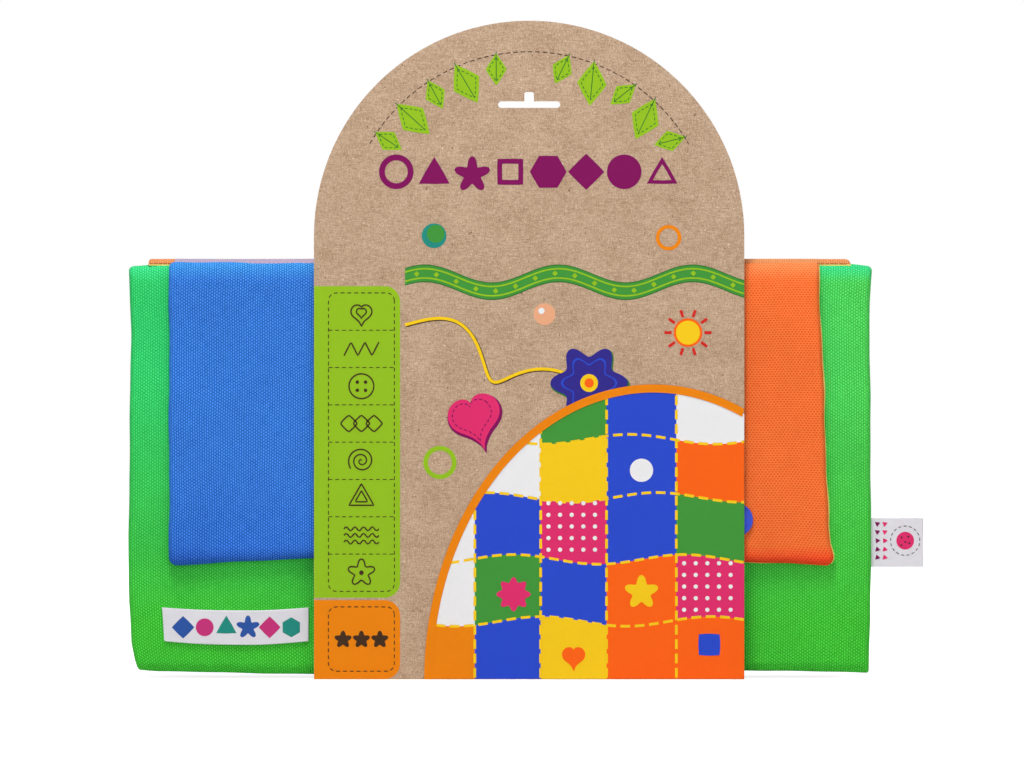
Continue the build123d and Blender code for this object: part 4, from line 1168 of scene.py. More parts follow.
for name, node, body, slot in (("socket_strap", "socket_webbing", "orange_panel", "yellow_webbing"),
                               ("plug_strap", "plug_webbing", "orange_panel", "yellow_webbing"),
                               ("pouch_tab_strap", "pouch_tab", "orange_panel", "yellow_webbing"),
                               ("zip_tape_cloth", "zip_tape", "cover", "green_tape")):
    box = cad(node)
    line = stacked(np.linspace(box.left, box.right, 24), (box.front + box.back) / 2, 0.0)
    dress(band(name, line, *upright_span(box), box.back - box.front, count=8), body, slot, node)

box = moved(cad("belt_webbing"), front=0.55, back=-0.65)
belt = band("belt_strap", folded_line(box.left, box.right, box.front, box.back, BELT_FOOT),
            *upright_span(box), BELT_THICK, count=8)
dress(belt, "blue_panel", "yellow_webbing", "belt_webbing")

TAB_BACK_Y, TAB_BACK_THICK = 0.8 * MM, 1.5 * MM
ROLL_Y, ROLL_DEEP, ROLL_Z, ROLL_HIGH = 3.0 * MM, 1.3 * MM, 194.1 * MM, 3.4 * MM
ROLL_HALF, ROLL_THICK = 7 * MM, 1.4 * MM
box = cad("hook_tab")
middle = (box.left + box.right) / 2
tab_back = band("hook_tab_back", stacked(0.0, box.front + TAB_BACK_Y, np.linspace(box.low, box.top, 14)),
                *level_span(box), TAB_BACK_THICK, count=8)
turn = np.linspace(-PI / 2, PI / 2, 16)
roll_line = stacked(0.0, box.front + ROLL_Y + ROLL_DEEP * np.cos(turn), ROLL_Z + ROLL_HIGH * np.sin(turn))
roll = band("hook_tab_roll", roll_line, ACROSS, middle - ROLL_HALF, middle + ROLL_HALF, ROLL_THICK, count=6)
dress(join("hook_tab_strap", [tab_back, roll]), "blue_panel", "yellow_webbing", "hook_tab")
print("straps made")

# %% Loops
LACE_LOOPS, LACE_TOP, LACE_PITCH = 4, 119.5, 22.0
LACE_MIDDLE, LACE_SIDE = 116.25 * MM, 9 * MM
LACE_HALF, LACE_WIDE, LACE_THICK = 4.6 * MM, 4 * MM, 0.7 * MM
BAND_LOOPS, BAND_FIRST, BAND_PITCH = 3, 14, 20
BAND_FOOT, BAND_HALF, BAND_HIGH, BAND_THICK = 4.4 * MM, 9.0 * MM, 3.3 * MM, 1.15 * MM


def arch_line(middle, half, base, high, count=17):
    """A full-shouldered arch: x = middle - half cos(a), y = base + high sin(a)^0.8."""
    turn = np.linspace(0, PI, count)
    return stacked(middle - half * np.cos(turn), base + high * np.sin(turn) ** 0.8, 0.0)


box = cad("lace_loops")
loops = []
for number in range(LACE_LOOPS):
    middle = LACE_MIDDLE + (-1) ** number * LACE_SIDE
    height = (LACE_TOP - LACE_PITCH * number) * MM
    line = arch_line(middle, LACE_HALF, box.front + 0.35 * MM, box.back - box.front - 0.75 * MM)
    loops.append(band(f"lace_loop_{number}", line, UPWARD, height - LACE_WIDE, height + LACE_WIDE, LACE_THICK,
                      count=6))
dress(join("lace_loop_set", loops), "blue_panel", "yellow_webbing", "lace_loops")

box = cad("loop_band")
flat_y = box.front + 0.6 * MM
line = np.vstack([
    stacked(np.linspace(box.left, box.left + BAND_FOOT, 5), flat_y, 0.0),
    *[arch_line(box.left + (BAND_FIRST + BAND_PITCH * number) * MM, BAND_HALF, box.front + 0.65 * MM,
                BAND_HIGH, 21) for number in range(BAND_LOOPS)],
    stacked(np.linspace(box.right - BAND_FOOT, box.right, 5), flat_y, 0.0)])
loop_strap = band("loop_band_strap", line, *upright_span(box), BAND_THICK)
dress(loop_strap, "blue_panel", "yellow_webbing", "loop_band")
print("loops made")

# %% [markdown]
# ## Label and tag
# A woven label is sewn on the cover, and a folded satin tape is caught in its right seam. The
# label bows a little, because its ends are stitched and its long edges are not.

# %% Label and tag
LABEL_LEFT, LABEL_LOW, LABEL_RIGHT, LABEL_TOP = -188.1 * MM, 19.4 * MM, -111.9 * MM, 36.9 * MM
LABEL_TOP_DIP, LABEL_LOW_DIP, LABEL_LEAN = 1.6 * MM, 2.0 * MM, 1.2 * MM
label_box = moved(cad("woven_label"), front=-0.3, back=-0.1)
label_box = label_box._replace(left=LABEL_LEFT, low=LABEL_LOW, right=LABEL_RIGHT, top=LABEL_TOP)


def label_shape(x, z):
    """The top edge dips by 1.6 mm in the middle, the lower one by 2.0 mm, and the left end leans."""
    share = np.clip((x - LABEL_LEFT) / (LABEL_RIGHT - LABEL_LEFT), 0, 1)
    high = np.clip((z - LABEL_LOW) / (LABEL_TOP - LABEL_LOW), 0, 1)
    dip = np.sin(PI * share) ** 0.8 * (LABEL_TOP_DIP * high + LABEL_LOW_DIP * (1 - high))
    return ripple(x + LABEL_LEAN * (1 - high) * (1 - share), z - dip, 0.07 * MM)


label = pad("woven_label_cloth", label_box, corner=0.5 * MM, rim=0.5 * MM, crown=0.0, wave=0.0,
            shape=label_shape, step=1.6 * MM, seam=0.7)
dress(label, "cover", "white_tape", "woven_label")

TAG_THICK, TAG_HALF, TAG_BOW = 0.35 * MM, 0.4 * MM, 0.5 * MM
tag_box = moved(cad("side_tag"), left=-1.5, low=-1.1, right=0.8, top=-0.9)
tag_middle = (tag_box.front + tag_box.back) / 2


def tag_bow(x):
    """Both layers of the tag bow to the front by sin^2 between the seam and the fold."""
    return TAG_BOW * np.sin(PI * (x - tag_box.left) / (tag_box.right - tag_box.left)) ** 2


turn = np.linspace(-PI / 2, PI / 2, 9)
near = np.linspace(tag_box.left, tag_box.right, 24)
bow = tag_bow(near)
tag_line = stacked(np.concatenate([near, tag_box.right + TAG_HALF * np.cos(turn), near[::-1]]),
                   np.concatenate([tag_middle - TAG_HALF - bow, tag_middle + TAG_HALF * np.sin(turn),
                                   tag_middle + TAG_HALF - bow[::-1]]), 0.0)
tag = band("side_tag_tape", tag_line, *upright_span(tag_box), TAG_THICK, count=12)
dress(tag, "cover", "white_tape", "side_tag")
print("label and tag made")

# %% [markdown]
# ## The pouch
# The drawstring pouch is stored neck down on the orange panel. It starts as a flat bag whose
# outline is a function of height, and cloth simulation blows it up a little, so that the
# wadding-like fullness and the pulls at the neck come out by themselves. Its frill is a
# gathered cone: the radius waves more and more towards its free edge.

# %% Pouch
POUCH_X, POUCH_Y, POUCH_NECK, POUCH_END = 8.5 * MM, 0.6 * MM, 66 * MM, 141 * MM
POUCH_ROWS, POUCH_SIDES, POUCH_UV = 40, 72, 17 * MM
PRESSURE, STRETCH_STIFF, BEND_STIFF = 2.0, 12, 0.4
PUFF_LIMIT, PUFF_FRAMES = 1.6 * MM, 16


def pouch_surface(name):
    """x = middle + w(t) cos a, y = middle + d(t) sin a: w opens from the neck, and the end closes round."""
    share = np.linspace(0, 1, POUCH_ROWS)
    place = POUCH_NECK + (POUCH_END - POUCH_NECK) * (1 - (1 - share) ** 1.3)
    open_up = np.interp(share, [0, 0.05, 0.2, 0.4, 0.75, 0.9, 1.0],
                        [6.5, 8.0, 16, 22.5, 24.5, 22.0, 16.0]) * MM
    close = np.sqrt(np.maximum(1 - np.clip((share - 0.9) / 0.1, 0, 1) ** 2, 0))
    depth = np.interp(share, [0, 0.1, 0.4, 0.8, 1.0], [2.6, 3.0, 4.0, 3.8, 3.4]) * MM * close
    wide = open_up * (0.25 + 0.75 * close)
    angle = np.linspace(0, 2 * PI, POUCH_SIDES, endpoint=False)
    pleat = 1 + 0.13 * np.exp(-share / 0.22)[:, None] * np.sin(11 * angle)[None, :]
    side = stacked(POUCH_X + wide[:, None] * np.cos(angle) * pleat,
                   POUCH_Y + depth[:, None] * np.sin(angle) * pleat, place[:, None])
    first, last = (stacked(POUCH_X + 0 * angle, POUCH_Y, end) for end in (POUCH_NECK, POUCH_END))
    uv = stacked(angle * POUCH_UV, np.concatenate([[POUCH_NECK], place, [POUCH_END]])[:, None])
    return tidy_mesh(grid_piece(name, np.vstack([first[None], side, last[None]]), uv, closed_v=True))


def blow_up(piece):
    """Cloth simulation with pressure and no gravity. No point moves further than the limit."""
    start = np.empty(len(piece.data.vertices) * 3)
    piece.data.vertices.foreach_get("co", start)
    modifier = piece.modifiers.new("cloth", "CLOTH")
    settings = modifier.settings
    settings.use_pressure = True
    settings.uniform_pressure_force = PRESSURE
    settings.effector_weights.gravity = 0
    settings.tension_stiffness = STRETCH_STIFF
    settings.compression_stiffness = STRETCH_STIFF
    settings.bending_stiffness = BEND_STIFF
    modifier.collision_settings.use_collision = False
    scene = bpy.context.scene
    for frame_number in range(1, PUFF_FRAMES + 1):
        scene.frame_set(frame_number)
    shaped = piece.evaluated_get(bpy.context.evaluated_depsgraph_get())
    after = np.empty_like(start)
    shaped.data.vertices.foreach_get("co", after)
    piece.modifiers.remove(modifier)
    scene.frame_set(1)
    shift = (after - start).reshape(-1, 3)
    far = np.linalg.norm(shift, axis=1, keepdims=True)
    shift *= np.minimum(1, PUFF_LIMIT / np.maximum(far, 1e-9))
    piece.data.vertices.foreach_set("co", (start.reshape(-1, 3) + shift).ravel())
    piece.data.update()
    print(f"{piece.name}: moved {float(far.max()) / MM:.1f} mm, kept to {PUFF_LIMIT / MM:.1f} mm")


pouch = pouch_surface("pouch_cloth")
blow_up(pouch)
dress(pouch, "orange_panel", "lining_cloth", "pouch")

# %% Frill
FRILL_Y, FRILL_LONG, FRILL_SKIN = 1.4 * MM, 13.5 * MM, 0.5 * MM
FRILL_WIDE, FRILL_DEEP, FRILL_UV = (6.8 * MM, 8 * MM), (2.4 * MM, 0.4 * MM), (12 * MM, 14 * MM)
FRILL_ROWS, FRILL_SIDES, FRILL_PLEATS = 14, 96, 9


def frill_radius(size, pleat, share, inner, turning):
    """The radius from the neck to the free edge, where it waves by the pleat's share of itself."""
    start, grown = size
    return (start + grown * share - inner)[:, None] * (1 + pleat * share[:, None] * turning)


angle = np.linspace(0, 2 * PI, FRILL_SIDES, endpoint=False)
share = np.concatenate([np.linspace(0, 1, FRILL_ROWS), np.linspace(1, 0, FRILL_ROWS)])
inner = np.concatenate([np.zeros(FRILL_ROWS), np.full(FRILL_ROWS, FRILL_SKIN)])
frill = stacked(
    POUCH_X + frill_radius(FRILL_WIDE, 0.12, share, inner, np.sin(FRILL_PLEATS * angle)) * np.cos(angle),
    FRILL_Y + frill_radius(FRILL_DEEP, 0.3, share, inner, np.cos(FRILL_PLEATS * angle)) * np.sin(angle),
    (POUCH_NECK - FRILL_LONG * share)[:, None])
frill_uv = stacked(angle[None] * FRILL_UV[0], share[:, None] * FRILL_UV[1])
frill_piece = tidy_mesh(grid_piece("pouch_frill_cloth", frill, frill_uv, closed_u=True, closed_v=True))
dress(frill_piece, "orange_panel", "lining_cloth", "pouch_frill")
print("pouch made")

# %% [markdown]
# ## The fold at the bottom
# A strip of blue cloth joins the two panels under their lower edges. It hangs in a
# small curve between them.

# %% Bottom fold cloth
HANG_Y, HANG_Z, HANG_HALF, HANG_DEEP, HANG_THICK = 10.75 * MM, 5.0 * MM, 3.0 * MM, 1.5 * MM, 1.0 * MM
box = moved(cad("blue_panel_face"), left=1, right=-1)
turn = np.linspace(0, PI, 21)
fold_line = stacked(0.0, HANG_Y - HANG_HALF * np.cos(turn), HANG_Z - HANG_DEEP * np.sin(turn))
bottom_fold = band("bottom_fold_cloth", fold_line, *level_span(box), HANG_THICK, count=90)
bottom_fold.data.materials.append(blue_cloth)
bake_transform(bottom_fold)
print("bottom fold made")

# %% [markdown]
# ## The print on the card
# The card is printed with plain shapes in a few inks. Each shape is a thin flat patch just in
# front of the card, made either between two curves or as a fan round a centre. All the
# shapes of one ink are gathered into one piece, and every layer stands a little further out.
# Places on the card are in millimetres.

# %% Printing helpers
LAYER = 0.035 * MM
CARD_LEFT, CARD_RIGHT = -109, 113
DASH_STEP = 1.2
printed = {}


def lay_down(colour, layer, grid, where="card"):
    """Keep a grid of (x, z) points in millimetres, to be printed in one ink on one layer."""
    if where == "card":
        grid = stacked(np.clip(grid[..., 0], CARD_LEFT, CARD_RIGHT), grid[..., 1])
    printed.setdefault((where, colour), []).append((layer, grid * MM))


def between(colour, layer, x, low, high):
    """The area between two curves over the same x."""
    lay_down(colour, layer, np.stack([stacked(x, low), stacked(x, high)], axis=1))


def toward(angle):
    """The point or points at distance 1 in a direction."""
    return stacked(np.cos(angle), np.sin(angle))


def circle(turn):
    """r(a) = 1."""
    return np.ones_like(turn)


def polygon(sides, soft=0.0):
    """r(a) of a regular polygon: cos(pi/n) / cos(a mod 2pi/n - pi/n), blended with a circle."""
    step = 2 * PI / sides
    return lambda turn: (np.cos(step / 2) / np.cos(np.mod(turn, step) - step / 2) * (1 - soft)
                         + soft * np.cos(step / 2))


def star(points, depth):
    """r(a) of a soft star: 1 - depth (1 - cos(n a)) / 2."""
    return lambda turn: 1 - depth * (1 - np.cos(points * turn)) / 2


def heart(turn):
    """r(a) of a heart, with its point down: 0.45 (sin |cos|^0.5 / (sin + 1.4) - 2 sin + 2)."""
    sine, cosine = np.sin(turn), np.cos(turn)
    return 0.45 * (sine * np.sqrt(np.abs(cosine)) / (sine + 1.4) - 2 * sine + 2)


def outline(size, shape=circle, spin=0.0, stretch=(1.0, 1.0), count=72):
    """The line size * r(a) round the origin, stretched and then turned."""
    turn = np.linspace(0, 2 * PI, count + 1)
    reach = shape(turn) * size
    x, z = reach * np.cos(turn) * stretch[0], reach * np.sin(turn) * stretch[1]
    return stacked(x * np.cos(spin) - z * np.sin(spin), x * np.sin(spin) + z * np.cos(spin))


def fan(colour, layer, centre, size, shape=circle, hole=0.0, count=48, where="card", **turned):
    """The area inside an outline round a centre, outside a hole that is a share of it."""
    rim = outline(size, shape, count=count, **turned)
    lay_down(colour, layer, np.array(centre) + rim[:, None] * np.linspace(hole, 1, 3)[None, :, None], where)


def stroke(colour, layer, line, width, dash=None, where="card"):
    """A line of a given width, offset to both sides along its normal, whole or in dashes."""
    line = np.array(line, float)
    reach = along_line(line)
    on, off = dash or (reach[-1], 1.0)
    for begin in np.arange(0, reach[-1], on + off):
        end = min(begin + on, reach[-1])
        steps = np.linspace(begin, end, max(2, int((end - begin) / DASH_STEP) + 2))
        points = stacked(np.interp(steps, reach, line[:, 0]), np.interp(steps, reach, line[:, 1]))
        slope = np.gradient(points, axis=0)
        slope /= np.maximum(np.linalg.norm(slope, axis=1, keepdims=True), 1e-9)
        normal = stacked(-slope[:, 1], slope[:, 0]) * width / 2
        lay_down(colour, layer, np.stack([points - normal, points + normal], axis=1), where)


def print_all(where, front, body, slot, prefix):
    """Every ink's grids as one mesh, facing the front. The front's y is a function of x."""
    for (spot, colour), shapes in printed.items():
        if spot != where:
            continue
        points, faces = np.empty((0, 3)), []
        for layer, grid in shapes:
            index = numbers(*grid.shape[:2], start=len(points))
            y = front(grid[..., 0]) - LAYER * layer
            points = np.vstack([points, stacked(grid[..., 0], y, grid[..., 1]).reshape(-1, 3)])
            some = quads(index)
            corner = points[some]
            facing = np.cross(corner[:, 1] - corner[:, 0], corner[:, 2] - corner[:, 0])[:, 1].sum()
            faces.append(some[:, ::-1] if facing > 0 else some)
        piece = mesh_object(f"{prefix}_{colour}", points, np.vstack(faces), points[:, [0, 2]])
        dress(piece, body, slot, material=INKS[colour])
        print(f"{piece.name}: {len(shapes)} patches")


# %% [markdown]
# A garland of small kites follows the card's round top, with a gap at the hang slot. Under it
# stands a row of bold purple shapes, like a child's first shapes to name.

# %% Garland and row of shapes
ARCH = np.array([2.05, 228.95])
ROPE_RADIUS, KITE_RADIUS = 95, 94
KITES, KITE_FIRST, KITE_SPAN, KITE_SIZES = 11, 146, 112, (8.6, 12.0)
SOFT_KITE, KITE_STRETCH = polygon(4, 0.12), (1.0, 0.66)
THIN = 0.45
stroke("brown", 1, ARCH + ROPE_RADIUS * toward(np.radians(np.linspace(150, 30, 80))), 0.5, dash=(2.4, 1.4))
for number in range(KITES):
    if number == KITES // 2:
        continue
    angle = np.radians(KITE_FIRST - number * KITE_SPAN / (KITES - 1))
    size = KITE_SIZES[number % 2]
    centre = ARCH + (KITE_RADIUS - size * 0.75) * toward(angle)
    lean = angle + 0.35 * np.sin(3.0 * number)
    fan("lime", 2, centre, size, SOFT_KITE, spin=lean, stretch=KITE_STRETCH)
    stroke("leaf", 3, centre + outline(size * 0.74, SOFT_KITE, lean, KITE_STRETCH), THIN, dash=(1.5, 1.0))
    stroke("leaf", 3, [centre - 0.7 * size * toward(lean), centre + 1.05 * size * toward(lean)], THIN)

ROW_LEFT, ROW_PITCH, ROW_Z, POINTED_DOWN = -66.5, 19.6, 262.0, 1.5
ROUND_SIZE, SIDED_SIZE = 8.924, 9.545
row_shapes = [
    (circle, 0.66, 0.0), (polygon(3, 0.08), 0.0, PI / 2), (star(5, 0.5), 0.0, PI / 2),
    (polygon(4, 0.06), 0.62, PI / 4), (polygon(6, 0.05), 0.0, 0.0), (polygon(4, 0.06), 0.0, 0.0),
    (circle, 0.0, 0.0), (polygon(3, 0.08), 0.6, PI / 2),
]
for number, (shape, hole, spin) in enumerate(row_shapes):
    centre = (ROW_LEFT + number * ROW_PITCH, ROW_Z - (POINTED_DOWN if spin == PI / 2 else 0))
    fan("purple", 2, centre, ROUND_SIZE if shape is circle else SIDED_SIZE, shape, hole, 96, spin=spin)
print("top of the card drawn")

# %% [markdown]
# Across the middle of the card runs a wavy green ribbon. Round it lie a blue flower on a
# yellow cord, a pink heart, a sun and a few rings, each with a paler or darker inner shape
# that gives it some depth.

# %% Ribbon and loose shapes
RIBBON_Z, RIBBON_WAVE, RIBBON_LONG = 205.0, 4.6, 11.0


def ribbon(x):
    """The ribbon's middle: z = level + size sin(x / length)."""
    return RIBBON_Z + RIBBON_WAVE * np.sin(x / RIBBON_LONG)


x = np.linspace(-62, CARD_RIGHT, 120)
for colour, layer, half in (("leaf", 1, 4.6), ("green", 2, 4.0)):
    between(colour, layer, x, ribbon(x) - half, ribbon(x) + half)
for shift in (2.4, -2.4):
    stroke("lime", 3, stacked(x, ribbon(x) + shift), 0.8)
for spot in -56 + np.arange(17) * 10.2:
    fan("lime", 4, (spot, ribbon(spot)), 1.5, polygon(4, 0.2))

turn = np.linspace(0, 1, 90)
yarn = stacked(-62 + 84 * turn + 9 * np.sin(2 * PI * turn), 183 - 34 * turn + 9 * np.sin(2.6 * PI * turn))
stroke("brown", 1, yarn + np.array([0.3, -0.3]), 2.1)
stroke("yellow", 2, yarn, 1.6)

FLOWER, SUN = np.array([33.0, 153.0]), np.array([84.0, 179.0])
PETALS = star(6, 0.32)
fan("leaf", 3, FLOWER + (0.5, -0.8), 20.5, PETALS, count=96)
for layer, (colour, size) in enumerate((("navy", 20.0), ("blue", 14.5), ("navy", 13.4)), start=4):
    fan(colour, layer, FLOWER, size, PETALS, count=96)
fan("yellow", 7, FLOWER, 4.6)
fan("vivid", 8, FLOWER, 2.4)

fan("purple", 2, (-27.4, 141.2), 14.4, heart, count=120, spin=0.3)
fan("pink", 3, (-28.0, 142.0), 13.6, heart, count=120, spin=0.3)
stroke("purple", 4, np.array([-28.6, 140.4]) + outline(10.2, heart, 0.3, count=120), 0.5, dash=(1.6, 1.1))

for angle in np.arange(10) * 2 * PI / 10:
    stroke("red", 3, SUN + np.outer([8.4, 12.2], toward(angle)), 1.5)
for colour, layer, centre, size, hole in (
        ("vivid", 2, SUN, 7.4, 0.0), ("yellow", 3, SUN, 6.2, 0.0), ("teal", 2, (-47.0, 229.0), 6.4, 0.0),
        ("green", 3, (-46.2, 230.0), 4.608, 0.0), ("orange", 2, (74.0, 228.0), 6.6, 0.72),
        ("lime", 2, (-44.0, 112.0), 8.6, 0.72), ("peach", 2, (10.0, 188.5), 5.6, 0.0),
        ("white", 3, (8.4, 190.2), 1.6, 0.0)):
    fan(colour, layer, centre, size, hole=hole)
print("middle of the card drawn")

# %% [markdown]
# Down the left edge stands a lime column with a stitched border, divided into fields. Each
# field has one simple brown line drawing, and the lowest is an orange tile.

# %% Left column
COLUMN_LEFT, COLUMN_RIGHT, COLUMN_LOW, COLUMN_TOP, TILE_TOP = -108.9, -64.5, 0.3, 203.0, 41.0
BLOCK_CORNER, FRAME_CORNER, GAP = 8, 4, 1.2
FIELD_LEFT, FIELD_RIGHT, FIELD_LOW, FIELD_TOP, FIELDS = -101.5, -67.5, TILE_TOP + 4.5, COLUMN_TOP - 3.5, 8
LINE = 0.75


def rounded_block(colour, low, high):
    """A block as wide as the column, whose right corners are quarter circles."""
    x = COLUMN_RIGHT - BLOCK_CORNER * (1 - np.sin(np.linspace(0, PI / 2, 10)))
    bend = x - (COLUMN_RIGHT - BLOCK_CORNER)
    drop = BLOCK_CORNER - np.sqrt(np.maximum(BLOCK_CORNER ** 2 - bend ** 2, 0))
    x, drop = np.concatenate([[COLUMN_LEFT], x]), np.concatenate([[0], drop])
    between(colour, 1, x, low + drop, high - drop)


def stitched_frame(low, high):
    """A dashed line round the fields, with round corners."""
    middle_x, middle_z = (FIELD_LEFT + FIELD_RIGHT) / 2, (low + high) / 2
    wide, tall = (FIELD_RIGHT - FIELD_LEFT) / 2 - FRAME_CORNER, (high - low) / 2 - FRAME_CORNER
    line = [np.array([middle_x + side_x * wide, middle_z + side_z * tall])
            + FRAME_CORNER * toward(np.linspace(0, PI / 2, 8) + quarter_turn * PI / 2)
            for quarter_turn, (side_x, side_z) in enumerate(((1, 1), (-1, 1), (-1, -1), (1, -1)))]
    stroke("brown", 3, np.vstack(line + [line[0][:1]]), 0.5, dash=(2.0, 1.5))


rounded_block("lime", TILE_TOP + GAP, COLUMN_TOP)
rounded_block("orange", COLUMN_LOW, TILE_TOP)
stitched_frame(FIELD_LOW, FIELD_TOP)
stitched_frame(COLUMN_LOW + 4, TILE_TOP - 3.5)
field = (FIELD_TOP - FIELD_LOW) / FIELDS
middle = (FIELD_LEFT + FIELD_RIGHT) / 2
for number in range(1, FIELDS):
    level = FIELD_LOW + number * field
    stroke("brown", 3, [(FIELD_LEFT, level), (FIELD_RIGHT, level)], THIN, dash=(2.0, 1.5))

# %% Drawings in the fields
run = np.linspace(-9, 9, 40)
spiral = np.linspace(0.6, 5.2 * PI, 90)
drawings = [
    [outline(7.2, star(5, 0.5), PI / 2)],
    [stacked(run, row + 1.1 * np.sin(run * 1.4)) for row in (-3.4, 0.0, 3.4)],
    [outline(size, polygon(3), PI / 2) for size in (7.4, 3.8)],
    [0.42 * spiral[:, None] * toward(spiral)],
    [np.array([shift, 0]) + outline(4.6, polygon(4, 0.2)) for shift in (-6.5, 0.0, 6.5)],
    [outline(6.4)],
    [np.array([(-9, -3.5), (-5.4, 3.5), (-1.8, -3.5), (1.8, 3.5), (5.4, -3.5), (9, 3.5)])],
    [np.array([0, size * 0.35]) + outline(size, heart, count=80) for size in (5.4, 2.6)],
]
corners = toward(np.arange(4) * PI / 2 + PI / 4)
dots = {0: [((0, 0), 1.2, 48)], 5: [(3.0 * corner, 0.9, 16) for corner in corners]}
for number, lines in enumerate(drawings):
    centre = np.array([middle, FIELD_LOW + (number + 0.5) * field])
    for line in lines:
        stroke("brown", 4, centre + line, LINE)
    for spot, size, count in dots.get(number, []):
        fan("brown", 4, centre + spot, size, count=count)
for shift in (-9.5, 0.0, 9.5):
    fan("brown", 4, (middle + shift, (COLUMN_LOW + TILE_TOP) / 2), 4.6, star(5, 0.42), spin=PI / 2)
print(len(drawings), "fields drawn")

# %% [markdown]
# The lower right of the card is a quilt of patches under a round orange rim. Every patch is
# the area between two waves, cut off by the rim's arch. White, blue, green, orange, yellow
# and dotted pink patches repeat the board's own colours.

# %% Quilt of patches
RIM_X, RIM_WIDE, RIM_HIGH, RIM_THICK, RIM_LIFT = 66.0, 116.0, 150.0, 4.2, 0.2
RIM_LEFT = RIM_X - RIM_WIDE
SEAM_WIDE, SEAM_DASH, SEAM_CLEAR = 1.4, (5.0, 2.4), 2
DOT_STEP = 6.0
columns = [RIM_LEFT, -26, 8, 42, 78, CARD_RIGHT]
rows = [0.4, 30, 62, 94, 124, 170]
quilt = [["orange", "blue", "yellow", "vivid", "vivid"],
         ["white", "green", "blue", "vivid", "pink"],
         ["white", "blue", "pink", "blue", "green"],
         ["white", "white", "yellow", "blue", "vivid"],
         ["white", "white", "green", "blue", "white"]]


def rim_top(x):
    """The arch: z = high sqrt(1 - ((x - middle) / wide)^2), and nothing beyond its left end."""
    return RIM_HIGH * np.sqrt(np.maximum(1 - ((x - RIM_X) / RIM_WIDE) ** 2, 0))


def row_edge(row, x):
    """The wavy seam under a row of patches. The lowest edge is straight."""
    return rows[row] + (2.5 * np.sin(x / 14 + row) if row else 0)


rim_turn = np.linspace(PI, np.arccos((CARD_RIGHT - RIM_X) / RIM_WIDE), 90)
rim = stacked(RIM_X + RIM_WIDE * np.cos(rim_turn), RIM_LIFT + RIM_HIGH * np.sin(rim_turn))
stroke("orange", 14, rim, RIM_THICK)
for row, patches in enumerate(quilt):
    for patch, left, right in zip(patches, columns, columns[1:]):
        x = np.linspace(left, right, 18)
        low, high, limit = row_edge(row, x), row_edge(row + 1, x), rim_top(x)
        if np.any(limit > low):
            between(patch, 8, x, np.minimum(low, limit), np.minimum(high, limit))
x = np.linspace(RIM_LEFT, CARD_RIGHT, 90)
for row in range(1, len(quilt)):
    line = stacked(x, row_edge(row, x))
    stroke("yellow", 9, line[line[:, 1] < rim_top(x) - SEAM_CLEAR], SEAM_WIDE, dash=SEAM_DASH)
for seam_x in columns[1:-1]:
    line = stacked(seam_x, np.linspace(1, rim_top(seam_x) - SEAM_CLEAR, 60))
    stroke("yellow", 10, line, SEAM_WIDE, dash=SEAM_DASH)
for left, right, low, high in ((82, 112, 36, 62), (12, 42, 67, 92)):
    for z in np.arange(low, high, DOT_STEP):
        for x in np.arange(left, right, DOT_STEP):
            fan("white", 11, (x, z), 1.1, count=14)
for colour, centre, size, shape, spin in (
        ("white", (60, 108), 6.0, circle, 0.0), ("yellow", (60, 45), 9.0, star(5, 0.45), PI / 2),
        ("vivid", (25, 15), 6.0, heart, 0.0), ("blue", (95, 18), 8.0, polygon(4, 0.2), PI / 4),
        ("pink", (-6, 44), 9.0, star(8, 0.3), 0.0)):
    fan(colour, 11, centre, size, shape, spin=spin)
print_all("card", lambda x: CARD_FRONT, "sleeve", "kraft_card", "card_print")

# %% [markdown]
# The label has a short row of small woven shapes, and the tag a few thin lines and dots.

# %% Label and tag print
WOVEN_LEFT, WOVEN_PITCH, WOVEN_Z = -177.0, 11.2, 26.6
TAG_SPOT, TAG_LEVELS = np.array([197.0, 71.3]), (62.6, 66.8, 71.3, 75.8, 80.0)
TAG_FRONT = 0.63 * MM
for number, (colour, shape, size) in enumerate((
        ("royal", polygon(4, 0.1), 6.0), ("rose", circle, 4.6), ("teal", polygon(3, 0.1), 6.4),
        ("royal", star(5, 0.5), 6.2), ("rose", polygon(4, 0.1), 5.8), ("teal", polygon(6, 0.05), 5.2))):
    fan(colour, 1, (WOVEN_LEFT + number * WOVEN_PITCH, WOVEN_Z), size, shape, where="label", spin=PI / 2)
print_all("label", lambda x: label_box.front, "cover", "white_tape", "label_weave")

stroke("brown", 1, TAG_SPOT + outline(7.6, count=64), 0.4, dash=(1.6, 1.2), where="tag")
fan("pink", 1, TAG_SPOT, 4.6, where="tag")
for spot in ((195.2, 73.0), (198.6, 73.4), (197.0, 70.6), (195.0, 69.0), (199.2, 70.0)):
    fan("brown", 2, spot, 0.5, where="tag")
for spot, colour in ((182.6, "purple"), (186.4, "pink")):
    for level in TAG_LEVELS:
        fan(colour, 1, (spot, level), 1.7, polygon(3, 0.1), where="tag", spin=level)
print_all("tag", lambda x: tag_middle - TAG_FRONT - tag_bow(x), "cover", "white_tape", "tag_print")

# %% [markdown]
# ## Light and floor
# A soft lamp high above the front is the main light, so flaps throw a soft shadow downwards.
# Three bigger lamps, one of them behind, and a pale sky fill it in. The floor is one wide flat
# white sheet. It adds white of its own only for the camera, for gloss and for transmission,
# so the board's shadow stays on it. Beyond the floor the camera sees a plain white sky.

# %% Floor
WHITE = (1.0, 1.0, 1.0)
FLOOR_HALF, FLOOR_GREY, FLOOR_GLOW = 9, (0.65, 0.65, 0.65), 0.82


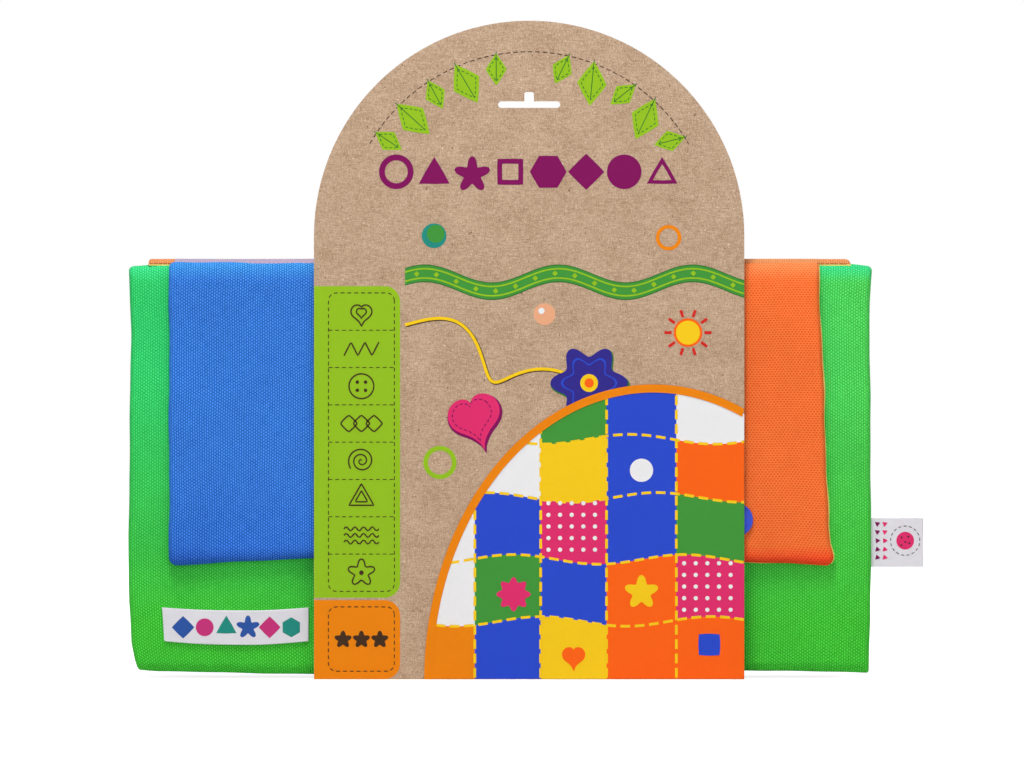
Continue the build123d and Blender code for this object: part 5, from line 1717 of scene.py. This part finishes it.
def floor_finish():
    """Matt white, with glow added where the ray comes from the camera, gloss or transmission."""
    finish = Finish("white_floor", roughness=1.0, Specular_IOR_Level=0.0, Base_Color=FLOOR_GREY)
    camera_ray, gloss_ray, through_ray = [finish.node("ShaderNodeLightPath", output=f"Is {ray} Ray")
                                          for ray in ("Camera", "Glossy", "Transmission")]
    matt = Flow(finish, finish.shader.outputs[0])
    glow = finish.node("ShaderNodeEmission", None, {"Color": WHITE, "Strength": FLOOR_GLOW})
    both = finish.node("ShaderNodeAddShader", None, {0: matt, 1: glow})
    share = (camera_ray + gloss_ray + through_ray).clamp()
    shown = finish.node("ShaderNodeMixShader", None, {0: share, 1: matt, 2: both})
    finish.feed(finish.tree.nodes["Material Output"].inputs["Surface"], shown)
    return finish.material


span = np.linspace(-FLOOR_HALF, FLOOR_HALF, 7)
flat = stacked(span[:, None], span[None], 0.0)
floor = grid_piece("white_floor", flat, flat[..., :2])
floor.data.materials.append(floor_finish())
print("floor laid")

# %% Lamps and world
TARGET = (0, 0, 0.12)
SKY_LIGHT = 0.27


def soft_lamp(name, place, size, power):
    """A square area lamp at a place, turned to the board."""
    light = bpy.data.lights.new(name, "AREA")
    light.shape, light.size, light.energy = "SQUARE", size, power
    lamp = add_object(name, light)
    away = np.array(place) - np.array(TARGET)
    lamp.location = place
    lamp.rotation_euler = (np.arccos(away[2] / np.linalg.norm(away)), 0, np.arctan2(away[0], -away[1]))


soft_lamp("lamp_above", (-0.15, -0.6, 1.65), 0.4, 21.5)
soft_lamp("lamp_left", (-1.2, -1.6, 1.2), 1.4, 8.5)
soft_lamp("lamp_right", (1.3, -1.6, 1.0), 1.4, 7.0)
soft_lamp("lamp_behind", (0.9, 1.9, 1.2), 1.4, 20.0)

world = bpy.data.worlds.new("pale_sky")
bpy.context.scene.world = world
world.use_nodes = True
sky = Nodes(world.node_tree)
pale = sky.tree.nodes["Background"]
sky.feed(pale.inputs["Color"], WHITE)
sky.feed(pale.inputs["Strength"], SKY_LIGHT)
white = sky.node("ShaderNodeBackground", None, {"Color": WHITE, "Strength": 1.0})
seen = sky.node("ShaderNodeLightPath", output="Is Camera Ray")
both = sky.node("ShaderNodeMixShader", None, {0: seen, 1: Flow(sky, pale.outputs[0]), 2: white})
sky.feed(sky.tree.nodes["World Output"].inputs[0], both)
bpy.context.scene.view_settings.view_transform = "Standard"
print("lamps lit")
